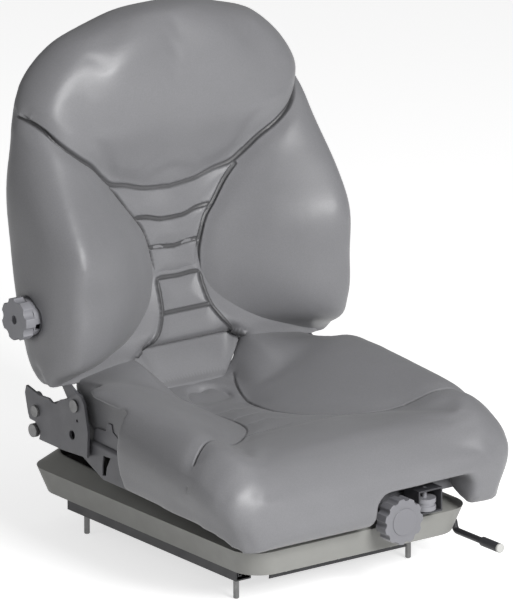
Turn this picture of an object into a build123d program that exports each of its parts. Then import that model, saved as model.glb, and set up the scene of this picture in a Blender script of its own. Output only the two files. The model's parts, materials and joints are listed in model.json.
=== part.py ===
from build123d import *
import math
import os

os.makedirs("parts", exist_ok=True)

# Tractor suspension seat. X runs across the seat, Y to the rear and Z up, so the seat faces -Y.
# The origin is the centre of the four mounting studs, at the underside of the slide rails.
# Right and left are those of the person sitting in the seat, so right is -X.

# Driving dimensions, in millimetres and degrees.

# Mounting studs
STUD_SPACING_X = 290.0
STUD_SPACING_Y = 345.0
STUD_RADIUS = 4.0
STUD_DROP = 30.0
STUD_HOLE_GAP = 1.3
STUD_HEAD_RADIUS = 8.0
STUD_HEAD_THICKNESS = 2.0
STUD_TIP_CHAMFER = 1.0

# Slide rails
RAIL_WIDTH = 25.0
RAIL_HEIGHT = 18.0
RAIL_SHEET = 2.0
RAIL_FRONT = -189.0
RAIL_REAR = 201.0
RAIL_LIP = 7.5
RAIL_HOOK_DROP = 8.0
UPPER_RAIL_TOP = 22.0
UPPER_RAIL_SHEET = 1.8
UPPER_RAIL_FOOT = 6.0
UPPER_RAIL_HOOK_TOP = 13.0
UPPER_RAIL_HALF_WIDTH = 9.4
UPPER_RAIL_TUNNEL = 2.7
GLIDE_LENGTH = 12.0
GLIDE_OFFSET_Y = 75.0
SLIDE_GAP = 0.3

# Latch rack beside the left rail, and the lever that lifts the latch
RACK_SHEET = 2.0
RACK_REACH = 14.0
RACK_FRONT = -172.0
RACK_LENGTH = 168.0
RACK_PITCH = 15.0
RACK_SLOT_COUNT = 10
RACK_LEG_TOP = 13.0
RACK_SHELF_BOTTOM = 3.0
LEVER_OFFSET = 32.0
LEVER_Z = 27.0
LEVER_PIVOT_Y = -60.0
LEVER_ROD_RADIUS = 4.5
LEVER_DROP = 15.0
LEVER_DROP_Y = -215.0
LEVER_BEND_RADIUS = 7.0
LEVER_TIP_Y = -317.0
GRIP_LENGTH = 36.0
GRIP_RADIUS = 6.5
CAP_LENGTH = 4.0
LEVER_HUB_RADIUS = 7.0
LEVER_HUB_WIDTH = 12.0
LEVER_PIN_RADIUS = 3.0
LATCH_Y = -96.0
LATCH_THICKNESS = 4.0

# Crossbars and base plate
BASE_OVERHANG = 15.0
BASE_FRONT = -240.0
BASE_REAR = 235.0
BASE_SHEET = 2.5
BASE_CORNER = 15.0
CROSSBAR_SHEET = 2.0
CROSSBAR_FACE_Y = -208.0
CROSSBAR_DEPTH = 28.0
CROSSBAR_BOTTOM_Z = 1.0
CROSSBAR_TAPER = 4.0
CROSSBAR_RAIL_GAP = 16.5
CROSSBAR_RIVET_RADIUS = 4.5
CROSSBAR_RIVET_SPACING = 88.0
CROSSBAR_RIVET_Z = 10.0
CROSSBAR_RIVET_HEAD = 1.5
WINDOW_HALF_WIDTH = 42.0
WINDOW_FRONT = -170.0
WINDOW_REAR = 20.0

# Moulded cover around the suspension
COVER_WALL = 3.0
COVER_RIDGE_Z = 60.0
COVER_OVERHANG = 30.0
COVER_RIDGE_FRONT = -262.0
COVER_RIDGE_REAR = 255.0
COVER_RIDGE_CORNER = 40.0
COVER_FOOT_INSET = 12.0
COVER_FOOT_INSET_Y = 9.0
COVER_SHOULDER_INSET = 21.0
COVER_SHOULDER_FRONT = -247.0
COVER_SHOULDER_REAR = 233.0
COVER_SHOULDER_FRONT_Z = 64.0
COVER_SHOULDER_REAR_Z = 82.0
COVER_SEAT_WIDTH = 8.0
COVER_MOUTH_FRONT = -240.0
COVER_MOUTH_REAR = 225.0

# Front pivot of the seat frame
PIVOT_Y = -225.0
PIVOT_Z = 46.0
AXLE_RADIUS = 8.0
AXLE_FIT = 0.06
BUSH_RADIUS = 10.5
LUG_GAP = 6.0
LUG_THICKNESS = 4.0
LUG_RADIUS = 13.0
ARM_X = 107.0
ARM_THICKNESS = 5.0
ARM_RADIUS = 15.5

# Pressed seat pan under the cushion
PAN_HALF_WIDTH = 200.0
PAN_SHEET = 2.5
PAN_FRONT = -240.0
PAN_REAR = 216.0
PAN_TOP_Z = 135.5
PAN_TOP_Y = 60.0
PAN_SLOPE = 0.045
PAN_SIDE_BOTTOM_Z = 88.0
PAN_FRONT_BOTTOM_Z = 84.0
PAN_REAR_BOTTOM_Z = 114.0
PAN_BACK_WALL_BOTTOM_Z = 126.0
PAN_EDGE_RADIUS = 5.0
PAN_STEP_FRONT = 57.0
PAN_STEP_REAR = 112.0
PAN_STEP_Z = 112.0

# Suspension travel, springs and buffers
SPRING_X = 75.0
SPRING_Y = -75.0
SPRING_RADIUS = 25.0
SPRING_WIRE = 2.5
SPRING_TURNS = 4
SPRING_SEAT_RADIUS = 31.0
SPRING_SEAT_THICKNESS = 3.0
SPIGOT_RADIUS = 20.0
SPIGOT_HEIGHT = 7.0
SPRING_BAR_BOTTOM = 96.0
SPRING_BAR_FRONT = -118.0
SPRING_BAR_REAR = -32.0
SPRING_BAR_HALF_WIDTH = 104.0
WEDGE_SLOPE = 0.15
WEDGE_FRONT_BOTTOM = 118.0
WEDGE_HALF_WIDTH = 98.0
WEDGE_GAP = 0.3
GUIDE_X = 22.0
GUIDE_RADIUS = 5.0
GUIDE_FIT = 0.08
BUFFER_X = 120.0
BUFFER_Y = 190.0
BUFFER_RADIUS = 15.0
BUFFER_TOWER_TOP = 62.0
BUFFER_TOP = 98.0

# Weight adjuster at the front
KNOB_X = 42.0
KNOB_Z = 74.0
KNOB_FACE_Y = -298.0
KNOB_RADIUS = 32.0
KNOB_DEPTH = 22.0
KNOB_LOBES = 11
KNOB_SCALLOP_RADIUS = 5.5
KNOB_HOLLOW = 12.0
KNOB_RIM = 7.0
KNOB_HUB_RADIUS = 10.0
KNOB_BORE_DEPTH = 14.0
SCREW_TIP_GAP = 0.5
SCREW_COLLAR = 4.0
SCREW_COLLAR_RIM = 3.0
STEM_HALF_WIDTH = 10.0
STEM_RISE = 2.0
GUIDE_END = 4.0
KNOB_BOSS_RADIUS = 19.0
KNOB_BOSS_HEIGHT = 1.5
SCREW_RADIUS = 5.0
SCREW_REAR = -110.0
NUT_FRONT = -152.0
NUT_REAR = -128.0
NUT_HALF_WIDTH = 12.0
NUT_TRAVEL = 7.5
BEARING_HALF_WIDTH = 15.0
BEARING_DEPTH = 10.0

# Weight indicator beside the knob
INDICATOR_X = 95.0
INDICATOR_Y = -273.5
INDICATOR_HALF_WIDTH = 20.0
INDICATOR_FRONT = -287.0
INDICATOR_REAR = -255.0
INDICATOR_BOTTOM = 73.0
INDICATOR_TOP = 107.0
INDICATOR_WALL = 2.5
DRUM_RADIUS = 15.5
DRUM_BOTTOM = 76.0
DRUM_TOP = 93.0
DRUM_GROOVE = 4.0
DRUM_PIN_RADIUS = 3.0

# Damper, open at its upper pivot
DAMPER_LOWER_Y = 60.0
DAMPER_LOWER_Z = 38.0
DAMPER_UPPER_Y = 178.0
DAMPER_UPPER_Z = 118.0
DAMPER_PIN_RADIUS = 5.0
DAMPER_EYE_RADIUS = 9.0
DAMPER_EYE_WIDTH = 24.0
DAMPER_TUBE_RADIUS = 13.0
DAMPER_TUBE_START = 12.0
DAMPER_TUBE_END = 92.0
DAMPER_ROD_RADIUS = 5.0
DAMPER_ROD_START = 62.0
DAMPER_BORE_START = 44.0
DAMPER_ROD_FIT = 0.08
DAMPER_OPEN_GAP = 1.0
DAMPER_LUG_GAP = 1.0
DAMPER_LUG_THICKNESS = 4.0

# Recline brackets at the sides
RECLINE_Y = 109.0
RECLINE_Z = 181.0
RECLINE_PIN_RADIUS = 6.0
RECLINE_PIN_HEAD = 9.0
RECLINE_TRAVEL = 10.0
BACK_ARM_GAP = 0.6
LOCK_TAIL_RIM = 4.5
ARM_EYE_RADIUS = 16.0
BACK_ARM_THICKNESS = 4.0
BRACKET_GAP = 0.6
BRACKET_THICKNESS = 4.0
LOCK_BOLT_REACH = 91.0
LOCK_BOLT_DROP = 30.0
LOCK_BOLT_RADIUS = 5.0
LOCK_BOLT_HEAD = 8.0
LOCK_SLOT_GAP = 0.6
ROLLER_REACH = 97.0
ROLLER_DROP = 59.0
ROLLER_RADIUS = 9.5
ROLLER_PIN_RADIUS = 4.0
ROLLER_GAP = 0.5
WINDOW_HOLE_REACH = 7.0
WINDOW_HOLE_DROP = 43.0
WINDOW_HOLE_RADIUS = 6.6
SMALL_HOLE_REACH = -5.0
SMALL_HOLE_DROP = 20.0
SMALL_HOLE_RADIUS = 2.2

# Cushions
SOFT_GAP = 0.3
CUSHION_OVERHANG = 38.0
HOOK_FRONT = 25.0
CUSHION_CUTOUT_INSET = 8.0
CLEAR_OF_ALL = 400.0
CUSHION_CUTOUT_FRONT = -35.0
CUSHION_CUTOUT_TOP = 207.0
CUSHION_WING_REAR = 62.0
RECESS_LEFT_X = 156.0
RECESS_RIGHT_X = -2.0
RECESS_TOP = 120.0
RECESS_CORNER = 22.0
DISH_Y = 78.0
DISH_HALF_X = 36.0
DISH_HALF_Y = 17.0
DISH_DEPTH = 12.0
BACK_OVERHANG = 52.0
BACK_CAVITY_GAP = 1.4
TONGUE_HALF_WIDTH = 66.0
TONGUE_THICKNESS = 14.0
TONGUE_BOTTOM = 190.0
SHELL_SHEET = 3.0
BACK_PAN_SHEET = 2.0
BACK_PAN_GAP = 0.3
BACK_PAN_FLANGE = 18.0

# Lumbar support
LUMBAR_Y = 160.0
LUMBAR_Z = 302.0
LUMBAR_KNOB_RADIUS = 29.5
LUMBAR_KNOB_LOBES = 7
LUMBAR_KNOB_STANDOFF = 21.0
LUMBAR_KNOB_DEPTH = 16.0
LUMBAR_BORE_RADIUS = 6.0
LUMBAR_BORE_DEPTH = 9.0
BEZEL_RADIUS = 26.0
BEZEL_DEPTH = 18.0
BEZEL_WALL = 3.0
LUMBAR_SHAFT_RADIUS = 5.0
LUMBAR_SHAFT_FIT = 0.06
CAM_RADIUS = 9.0
CAM_OFFSET = 1.1
CAM_INSET = 4.0
CAM_WIDTH = 10.0
LUMBAR_HINGE_X = 90.0
LUG_HALF_HEIGHT = 6.0
SHAFT_LUG_REACH = 8.0
SHAFT_LUG_HALF_HEIGHT = 10.0
PAN_TOUCH = 0.2
LUMBAR_KNOB_SCALLOP = 9.0
BEZEL_SLOT_INSET = 2.0
BEZEL_SLOT_LENGTH = 9.0
BEZEL_SLOT_DEPTH = 6.0
BEZEL_SLOT_LOW = 12.0
BEZEL_SLOT_HIGH = 4.0
CAM_ROOM = 3.0
SHAFT_ROOM = 1.5
LUMBAR_PLATE_HALF_WIDTH = 110.0
LUMBAR_PLATE_SHEET = 2.0
LUMBAR_HINGE_Y = 144.5
LUMBAR_HINGE_Z = 256.0
LUMBAR_PLATE_TOP_Y = 176.0
LUMBAR_PLATE_TOP_Z = 330.0
LUMBAR_HINGE_RADIUS = 3.0

# Values that follow from the driving dimensions
STUD_X = STUD_SPACING_X / 2
STUD_Y = STUD_SPACING_Y / 2
BASE_TOP = UPPER_RAIL_TOP + BASE_SHEET
BASE_HALF_WIDTH = STUD_X + BASE_OVERHANG
CROSSBAR_HALF_BOTTOM = STUD_X - RAIL_WIDTH / 2 - CROSSBAR_RAIL_GAP
CROSSBAR_HALF_TOP = CROSSBAR_HALF_BOTTOM - CROSSBAR_TAPER
COVER_RIDGE_HALF_WIDTH = BASE_HALF_WIDTH + COVER_OVERHANG
COVER_MOUTH_HALF_WIDTH = BASE_HALF_WIDTH - COVER_SEAT_WIDTH
LEVER_X = BASE_HALF_WIDTH + LEVER_OFFSET
LUG_X = ARM_X + ARM_THICKNESS + LUG_GAP
BACK_ARM_X = PAN_HALF_WIDTH + BACK_ARM_GAP
BACK_CAVITY_HALF_WIDTH = BACK_ARM_X + BACK_ARM_THICKNESS + BACK_CAVITY_GAP
BACK_PAN_HALF_WIDTH = BACK_ARM_X - BACK_PAN_GAP
CUSHION_HALF_WIDTH = PAN_HALF_WIDTH + CUSHION_OVERHANG
CUSHION_INNER_HALF_WIDTH = PAN_HALF_WIDTH - CUSHION_CUTOUT_INSET
BACK_HALF_WIDTH = PAN_HALF_WIDTH + BACK_OVERHANG
LUMBAR_KNOB_FACE_X = -BACK_HALF_WIDTH - LUMBAR_KNOB_STANDOFF
BEZEL_INNER_X = -BACK_HALF_WIDTH + BEZEL_DEPTH
CAM_X = -PAN_HALF_WIDTH + CAM_INSET
LOCK_BOLT_Y = RECLINE_Y + LOCK_BOLT_REACH
LOCK_BOLT_Z = RECLINE_Z - LOCK_BOLT_DROP
ROLLER_Y = RECLINE_Y + ROLLER_REACH
ROLLER_Z = RECLINE_Z - ROLLER_DROP
BRACKET_X = BACK_ARM_X + BACK_ARM_THICKNESS + BRACKET_GAP
BRACKET_OUT = BRACKET_X + BRACKET_THICKNESS
SIDES = {"right": -1, "left": 1}


def pan_top(y):
    """Height of the top face of the seat pan, which rises to the rear."""
    return PAN_TOP_Z + PAN_SLOPE * (y - PAN_TOP_Y)


def pan_under(y):
    """Height of the underside of the seat pan's top sheet."""
    return pan_top(y) - PAN_SHEET


def outline(points):
    """A flat face from its corner points."""
    return make_face(Polyline(*points, close=True))


def spot(x, y, radius):
    """A flat disc away from the centre of its plane."""
    return Pos(x, y) * Circle(radius)


def box_face(x0, x1, y0, y1):
    """A flat rectangle between two limits each way."""
    return Pos((x0 + x1) / 2, (y0 + y1) / 2) * Rectangle(x1 - x0, y1 - y0)


def along_x(face, x0, x1):
    """A face drawn in Y and Z, run from x0 to x1."""
    return extrude(Plane.YZ.offset(x0) * face, amount=x1 - x0)


def along_y(face, y0, y1):
    """A face drawn in X and Z, run from y0 to y1."""
    return extrude(Plane.XZ.offset(-y1) * face, amount=y1 - y0)


def along_z(face, z0, z1):
    """A face drawn in X and Y, run from z0 to z1."""
    return extrude(Plane.XY.offset(z0) * face, amount=z1 - z0)


def block(x0, x1, y0, y1, z0, z1):
    """A plain block between two limits each way."""
    return along_z(box_face(x0, x1, y0, y1), z0, z1)


def rod_x(x0, x1, y, z, radius):
    """A round bar across the seat."""
    return along_x(spot(y, z, radius), x0, x1)


def rod_y(y0, y1, x, z, radius):
    """A round bar along the seat."""
    return along_y(spot(x, z, radius), y0, y1)


def rod_z(z0, z1, x, y, radius):
    """An upright round bar."""
    return along_z(spot(x, y, radius), z0, z1)


def folded(points, sheet, side):
    """The section of a bent sheet that follows points on one of its faces."""
    return make_face(offset(Polyline(*points), amount=sheet, side=side, closed=True))


def mirrored(solid, side):
    """The piece as drawn for the left side, or its mirror image for the right."""
    if side == "left":
        return solid
    return mirror(solid, about=Plane.YZ)


def group(solids):
    """Separate like solids that share one node."""
    return Compound(children=list(solids))


def save(name, solid):
    """Write one sub-part."""
    solid.label = name
    export_step(solid, "parts/" + name + ".step")


def stud_places():
    """The four stud centres in plan."""
    return [(sx * STUD_X, sy * STUD_Y) for sx in (-1, 1) for sy in (-1, 1)]


# Fixed rails and their studs

def lower_rail(side):
    """The fixed rail: a channel with its lips turned in and down."""
    half = RAIL_WIDTH / 2
    lip = half - RAIL_LIP
    points = [
        (lip, RAIL_HEIGHT - RAIL_HOOK_DROP), (lip, RAIL_HEIGHT), (half, RAIL_HEIGHT), (half, 0),
        (-half, 0), (-half, RAIL_HEIGHT), (-lip, RAIL_HEIGHT), (-lip, RAIL_HEIGHT - RAIL_HOOK_DROP),
    ]
    section = Pos(SIDES[side] * STUD_X, 0) * folded(points, RAIL_SHEET, Side.RIGHT)
    rail = along_y(section, RAIL_FRONT, RAIL_REAR)
    for x, y in stud_places():
        rail -= rod_z(-1, RAIL_SHEET + 1, x, y, STUD_RADIUS + STUD_HOLE_GAP)
    return rail


def mounting_stud(x, y):
    """One stud whose head lies on the floor of the fixed rail."""
    shank = rod_z(-STUD_DROP, RAIL_SHEET, x, y, STUD_RADIUS)
    shank = chamfer(shank.edges().sort_by(Axis.Z)[0], STUD_TIP_CHAMFER)
    return shank + rod_z(RAIL_SHEET, RAIL_SHEET + STUD_HEAD_THICKNESS, x, y, STUD_HEAD_RADIUS)


def latch_rack():
    """The angle beside the left rail, with a row of slots for the latch."""
    inner = STUD_X + RAIL_WIDTH / 2
    shelf = RACK_SHELF_BOTTOM
    points = [(inner, RACK_LEG_TOP), (inner, shelf), (inner + RACK_REACH, shelf)]
    rack = along_y(folded(points, RACK_SHEET, Side.LEFT), RACK_FRONT, RACK_FRONT + RACK_LENGTH)
    slot_x = inner + RACK_SHEET + (RACK_REACH - RACK_SHEET) / 2
    first = RACK_FRONT + (RACK_LENGTH - (RACK_SLOT_COUNT - 1) * RACK_PITCH) / 2
    for index in range(RACK_SLOT_COUNT):
        y = first + index * RACK_PITCH
        rack -= block(slot_x - 3, slot_x + 3, y - 4, y + 4, shelf - 1, shelf + RACK_SHEET + 1)
    return rack


# Sliding carriage

def upper_rail(side):
    """The sliding rail: a narrow tunnel on two feet whose edges turn up inside the fixed rail."""
    wide, foot, tunnel = UPPER_RAIL_HALF_WIDTH, UPPER_RAIL_FOOT, UPPER_RAIL_TUNNEL
    roof = UPPER_RAIL_TOP - UPPER_RAIL_SHEET
    points = [
        (wide, UPPER_RAIL_HOOK_TOP), (wide, foot), (tunnel, foot), (tunnel, roof),
        (-tunnel, roof), (-tunnel, foot), (-wide, foot), (-wide, UPPER_RAIL_HOOK_TOP),
    ]
    section = Pos(SIDES[side] * STUD_X, 0) * folded(points, UPPER_RAIL_SHEET, Side.RIGHT)
    return along_y(section, RAIL_FRONT, RAIL_REAR)


def rail_glides():
    """Plastic shoes clipped round the feet of the sliding rails."""
    outer = RAIL_WIDTH / 2 - RAIL_SHEET - SLIDE_GAP
    shoes = []
    for sx in (-1, 1):
        for sy in (-1, 1):
            face = box_face(-outer, outer, RAIL_SHEET + SLIDE_GAP, UPPER_RAIL_HOOK_TOP)
            face -= box_face(-UPPER_RAIL_HALF_WIDTH, UPPER_RAIL_HALF_WIDTH, UPPER_RAIL_FOOT, RAIL_HEIGHT)
            y = sy * GLIDE_OFFSET_Y
            shoe = along_y(Pos(sx * STUD_X, 0) * face, y - GLIDE_LENGTH / 2, y + GLIDE_LENGTH / 2)
            shoes.append(shoe)
    return group(shoes)


def base_plate():
    """The flat plate across the sliding rails that carries the suspension."""
    depth = BASE_REAR - BASE_FRONT
    face = Pos(0, (BASE_REAR + BASE_FRONT) / 2) * RectangleRounded(2 * BASE_HALF_WIDTH, depth, BASE_CORNER)
    window_depth = WINDOW_REAR - WINDOW_FRONT
    window = RectangleRounded(2 * WINDOW_HALF_WIDTH, window_depth, BASE_CORNER)
    face -= Pos(0, (WINDOW_REAR + WINDOW_FRONT) / 2) * window
    return along_z(face, UPPER_RAIL_TOP, BASE_TOP)


def crossbar(face_y, direction):
    """A bent bar under the base plate; its ends slope in towards the top."""
    points = [
        (face_y + direction * CROSSBAR_DEPTH, UPPER_RAIL_TOP), (face_y, UPPER_RAIL_TOP),
        (face_y, CROSSBAR_BOTTOM_Z),
    ]
    side = Side.LEFT if direction > 0 else Side.RIGHT
    bar = along_x(folded(points, CROSSBAR_SHEET, side), -CROSSBAR_HALF_BOTTOM, CROSSBAR_HALF_BOTTOM)
    wide, narrow = CROSSBAR_HALF_BOTTOM, CROSSBAR_HALF_TOP
    mask = outline([
        (-wide, CROSSBAR_BOTTOM_Z), (wide, CROSSBAR_BOTTOM_Z),
        (narrow, UPPER_RAIL_TOP), (-narrow, UPPER_RAIL_TOP),
    ])
    return bar & along_y(mask, face_y - CROSSBAR_DEPTH, face_y + CROSSBAR_DEPTH)


def crossbar_rivets():
    """Three low round heads on the face of the front crossbar."""
    heads = []
    for step in (-1, 0, 1):
        x = step * CROSSBAR_RIVET_SPACING
        front = CROSSBAR_FACE_Y - CROSSBAR_RIVET_HEAD
        head = rod_y(front, CROSSBAR_FACE_Y, x, CROSSBAR_RIVET_Z, CROSSBAR_RIVET_RADIUS)
        heads.append(chamfer(head.edges().sort_by(Axis.Y)[0], CROSSBAR_RIVET_HEAD / 2))
    return group(heads)


def cover_ring(half_width, front, rear, front_z, rear_z, corner, inset):
    """A rounded rectangle across the cover, level or tilted, drawn in by inset."""
    length = math.hypot(rear - front, rear_z - front_z)
    tilt = math.degrees(math.atan2(rear_z - front_z, rear - front))
    plane = Plane(origin=(0, (front + rear) / 2, (front_z + rear_z) / 2)).rotated((tilt, 0, 0))
    wide = 2 * (half_width - inset)
    return plane * RectangleRounded(wide, length - 2 * inset, corner - inset)


def cover_body(inset, floor_z):
    """The outer form of the cover, or its hollow when drawn in by the wall."""
    foot = cover_ring(
        COVER_RIDGE_HALF_WIDTH - COVER_FOOT_INSET, COVER_RIDGE_FRONT + COVER_FOOT_INSET_Y,
        COVER_RIDGE_REAR - COVER_FOOT_INSET_Y, floor_z, floor_z, COVER_RIDGE_CORNER, inset,
    )
    ridge = cover_ring(
        COVER_RIDGE_HALF_WIDTH, COVER_RIDGE_FRONT, COVER_RIDGE_REAR,
        COVER_RIDGE_Z, COVER_RIDGE_Z, COVER_RIDGE_CORNER, inset,
    )
    top = cover_ring(
        COVER_RIDGE_HALF_WIDTH - COVER_SHOULDER_INSET, COVER_SHOULDER_FRONT, COVER_SHOULDER_REAR,
        COVER_SHOULDER_FRONT_Z, COVER_SHOULDER_REAR_Z, COVER_RIDGE_CORNER, inset,
    )
    return loft([foot, ridge, top], ruled=True), top


def suspension_cover():
    """The moulded cover: walls that flare out to a ridge and slope in above it, on a narrow floor."""
    shell, _ = cover_body(0, BASE_TOP)
    hollow, mouth = cover_body(COVER_WALL, BASE_TOP + COVER_WALL)
    opening = cover_ring(
        COVER_MOUTH_HALF_WIDTH, COVER_MOUTH_FRONT, COVER_MOUTH_REAR, BASE_TOP, BASE_TOP, BASE_CORNER, 0,
    )
    shell -= hollow
    shell -= extrude(mouth, amount=COVER_WALL)
    return shell - extrude(opening, amount=COVER_WALL + 1)


def pivot_lug(side):
    """A lug on the base plate that holds one end of the pivot axle."""
    face = outline([
        (PIVOT_Y - LUG_RADIUS, BASE_TOP), (PIVOT_Y + 2 * LUG_RADIUS, BASE_TOP),
        (PIVOT_Y + LUG_RADIUS, PIVOT_Z), (PIVOT_Y - LUG_RADIUS, PIVOT_Z),
    ])
    face += spot(PIVOT_Y, PIVOT_Z, LUG_RADIUS)
    face -= spot(PIVOT_Y, PIVOT_Z, AXLE_RADIUS + AXLE_FIT)
    lug = along_x(face, LUG_X, LUG_X + LUG_THICKNESS)
    foot = block(
        LUG_X, LUG_X + 4 * LUG_THICKNESS, PIVOT_Y - LUG_RADIUS, PIVOT_Y + 2 * LUG_RADIUS,
        BASE_TOP, BASE_TOP + LUG_THICKNESS,
    )
    return mirrored(lug + foot, side)


def pivot_axle():
    """The axle across the front, headed at its right end."""
    outer = LUG_X + LUG_THICKNESS
    axle = rod_x(-outer - 3.4, outer + 6, PIVOT_Y, PIVOT_Z, AXLE_RADIUS)
    return axle + rod_x(-outer - 3.4, -outer - 0.2, PIVOT_Y, PIVOT_Z, AXLE_RADIUS + 3)


def axle_clip():
    """The ring that keeps the axle in its lugs."""
    outer = LUG_X + LUG_THICKNESS
    ring = spot(PIVOT_Y, PIVOT_Z, AXLE_RADIUS + 3.5) - spot(PIVOT_Y, PIVOT_Z, AXLE_RADIUS + AXLE_FIT)
    return along_x(ring, outer + 0.2, outer + 2.2)


def spring_base_seats():
    """Pressed discs that locate the springs on the base plate."""
    seats = []
    for sx in (-1, 1):
        seat = rod_z(BASE_TOP, BASE_TOP + SPRING_SEAT_THICKNESS, sx * SPRING_X, SPRING_Y, SPRING_SEAT_RADIUS)
        top = BASE_TOP + SPRING_SEAT_THICKNESS + SPIGOT_HEIGHT
        seats.append(seat + rod_z(BASE_TOP, top, sx * SPRING_X, SPRING_Y, SPIGOT_RADIUS))
    return group(seats)


def spring(side):
    """One coil spring, drawn as a six-sided wire on its helix, with its ends on the seats."""
    bottom = BASE_TOP + SPRING_SEAT_THICKNESS + SPRING_WIRE + SLIDE_GAP
    top = SPRING_BAR_BOTTOM - SPRING_WIRE - SLIDE_GAP
    height = top - bottom
    path = Helix(height / SPRING_TURNS, height, SPRING_RADIUS)
    wire = Plane(path @ 0, z_dir=path % 0) * RegularPolygon(SPRING_WIRE, 6)
    coil = sweep(wire, path, is_frenet=True)
    return Pos(SIDES[side] * SPRING_X, SPRING_Y, bottom) * coil


def buffer_towers():
    """Steel posts under the rubber buffers."""
    towers = []
    for sx in (-1, 1):
        towers.append(rod_z(BASE_TOP, BUFFER_TOWER_TOP, sx * BUFFER_X, BUFFER_Y, BUFFER_RADIUS))
    return group(towers)


def buffer_rubbers():
    """Rubber buffers that stop the seat frame at the end of its travel."""
    rubbers = []
    for sx in (-1, 1):
        cone = Cone(BUFFER_RADIUS, BUFFER_RADIUS * 0.6, BUFFER_TOP - BUFFER_TOWER_TOP)
        rubbers.append(Pos(sx * BUFFER_X, BUFFER_Y, (BUFFER_TOP + BUFFER_TOWER_TOP) / 2) * cone)
    return group(rubbers)


def damper_lugs(y, z, root_z):
    """Two lugs and their pin, between root_z and the pin."""
    inner = DAMPER_EYE_WIDTH / 2 + DAMPER_LUG_GAP
    outer = inner + DAMPER_LUG_THICKNESS
    low, high = min(root_z, z), max(root_z, z)
    face = box_face(y - DAMPER_EYE_RADIUS, y + DAMPER_EYE_RADIUS, low, high)
    face += spot(y, z, DAMPER_EYE_RADIUS)
    both = along_x(face, inner, outer) + along_x(face, -outer, -inner)
    return both + rod_x(-outer - 2, outer + 2, y, z, DAMPER_PIN_RADIUS)


def lever_bracket():
    """A strip under the base plate with two ears and the pin of the slide lever."""
    inner = LEVER_X - LEVER_HUB_WIDTH / 2
    outer = LEVER_X + LEVER_HUB_WIDTH / 2
    ear = 2.0
    gap = 0.5
    front, rear = LEVER_PIVOT_Y - LEVER_HUB_RADIUS, LEVER_PIVOT_Y + LEVER_HUB_RADIUS
    root = LEVER_Z - LEVER_HUB_RADIUS - 3
    strip = block(
        BASE_HALF_WIDTH - 2, outer + gap + ear, front, rear, root - ear, root,
    )
    riser = block(BASE_HALF_WIDTH - 2, BASE_HALF_WIDTH + 2, front, rear, root - ear, UPPER_RAIL_TOP)
    ears = [(inner - gap - ear, inner - gap), (outer + gap, outer + gap + ear)]
    bracket = strip + riser
    for x0, x1 in ears:
        bracket += block(x0, x1, front, rear, root - ear, LEVER_Z + LEVER_PIN_RADIUS + 2)
    return bracket + rod_x(ears[0][0], ears[1][1], LEVER_PIVOT_Y, LEVER_Z, LEVER_PIN_RADIUS)


# Slide lever

def lever_rod():
    """The bent rod with its hub, and the latch blade welded to it."""
    low = LEVER_Z - LEVER_DROP
    path = FilletPolyline(
        (LEVER_X, LEVER_PIVOT_Y - LEVER_HUB_RADIUS + 1, LEVER_Z), (LEVER_X, LEVER_DROP_Y + 2, LEVER_Z),
        (LEVER_X, LEVER_DROP_Y - 2, low), (LEVER_X, LEVER_TIP_Y + CAP_LENGTH, low),
        radius=LEVER_BEND_RADIUS,
    )
    rod = sweep(Plane(path @ 0, z_dir=path % 0) * Circle(LEVER_ROD_RADIUS), path)
    hub = spot(LEVER_PIVOT_Y, LEVER_Z, LEVER_HUB_RADIUS)
    half = LEVER_HUB_WIDTH / 2
    rod += along_x(hub, LEVER_X - half, LEVER_X + half)
    return rod - rod_x(LEVER_X - half, LEVER_X + half, LEVER_PIVOT_Y, LEVER_Z, LEVER_PIN_RADIUS + AXLE_FIT)


def latch_blade():
    """The plate under the lever rod whose tooth stands over the rack."""
    slot_x = STUD_X + RAIL_WIDTH / 2 + RACK_SHEET + (RACK_REACH - RACK_SHEET) / 2
    tooth = RACK_SHELF_BOTTOM + RACK_SHEET + SLIDE_GAP
    top = LEVER_Z - LEVER_ROD_RADIUS - 6.5
    under_rod = LEVER_Z - LEVER_ROD_RADIUS
    face = outline([
        (slot_x - 2, tooth), (slot_x + 2, tooth), (slot_x + 2, top - 5), (LEVER_X + 3, top - 5),
        (LEVER_X + 3, under_rod + 1), (LEVER_X - 3, under_rod + 1), (LEVER_X - 3, top), (slot_x - 2, top),
    ])
    blade = along_y(face, LATCH_Y - LATCH_THICKNESS / 2, LATCH_Y + LATCH_THICKNESS / 2)
    return blade - rod_y(LATCH_Y - 5, LATCH_Y + 5, LEVER_X, LEVER_Z, LEVER_ROD_RADIUS)


def lever_grip():
    """The plastic sleeve over the end of the rod."""
    low = LEVER_Z - LEVER_DROP
    rear = LEVER_TIP_Y + CAP_LENGTH + GRIP_LENGTH
    ring = spot(LEVER_X, low, GRIP_RADIUS) - spot(LEVER_X, low, LEVER_ROD_RADIUS)
    sleeve = along_y(ring, LEVER_TIP_Y + CAP_LENGTH, rear)
    return chamfer(sleeve.edges().filter_by(GeomType.CIRCLE).sort_by(Axis.Y)[-1], 1)


def lever_cap():
    """The light plug that closes the sleeve."""
    low = LEVER_Z - LEVER_DROP
    cap = rod_y(LEVER_TIP_Y, LEVER_TIP_Y + CAP_LENGTH, LEVER_X, low, GRIP_RADIUS)
    return fillet(cap.edges().sort_by(Axis.Y)[0], 1.5)


# Seat frame

# The tapered slot in the pan's side wall, from the lowest point of the wall's step.
PAN_SLOT_EDGE = [(-1, 34), (-18, 34.5), (-9, 19), (-7, 7), (1, 5.5), (1, 20)]


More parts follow.
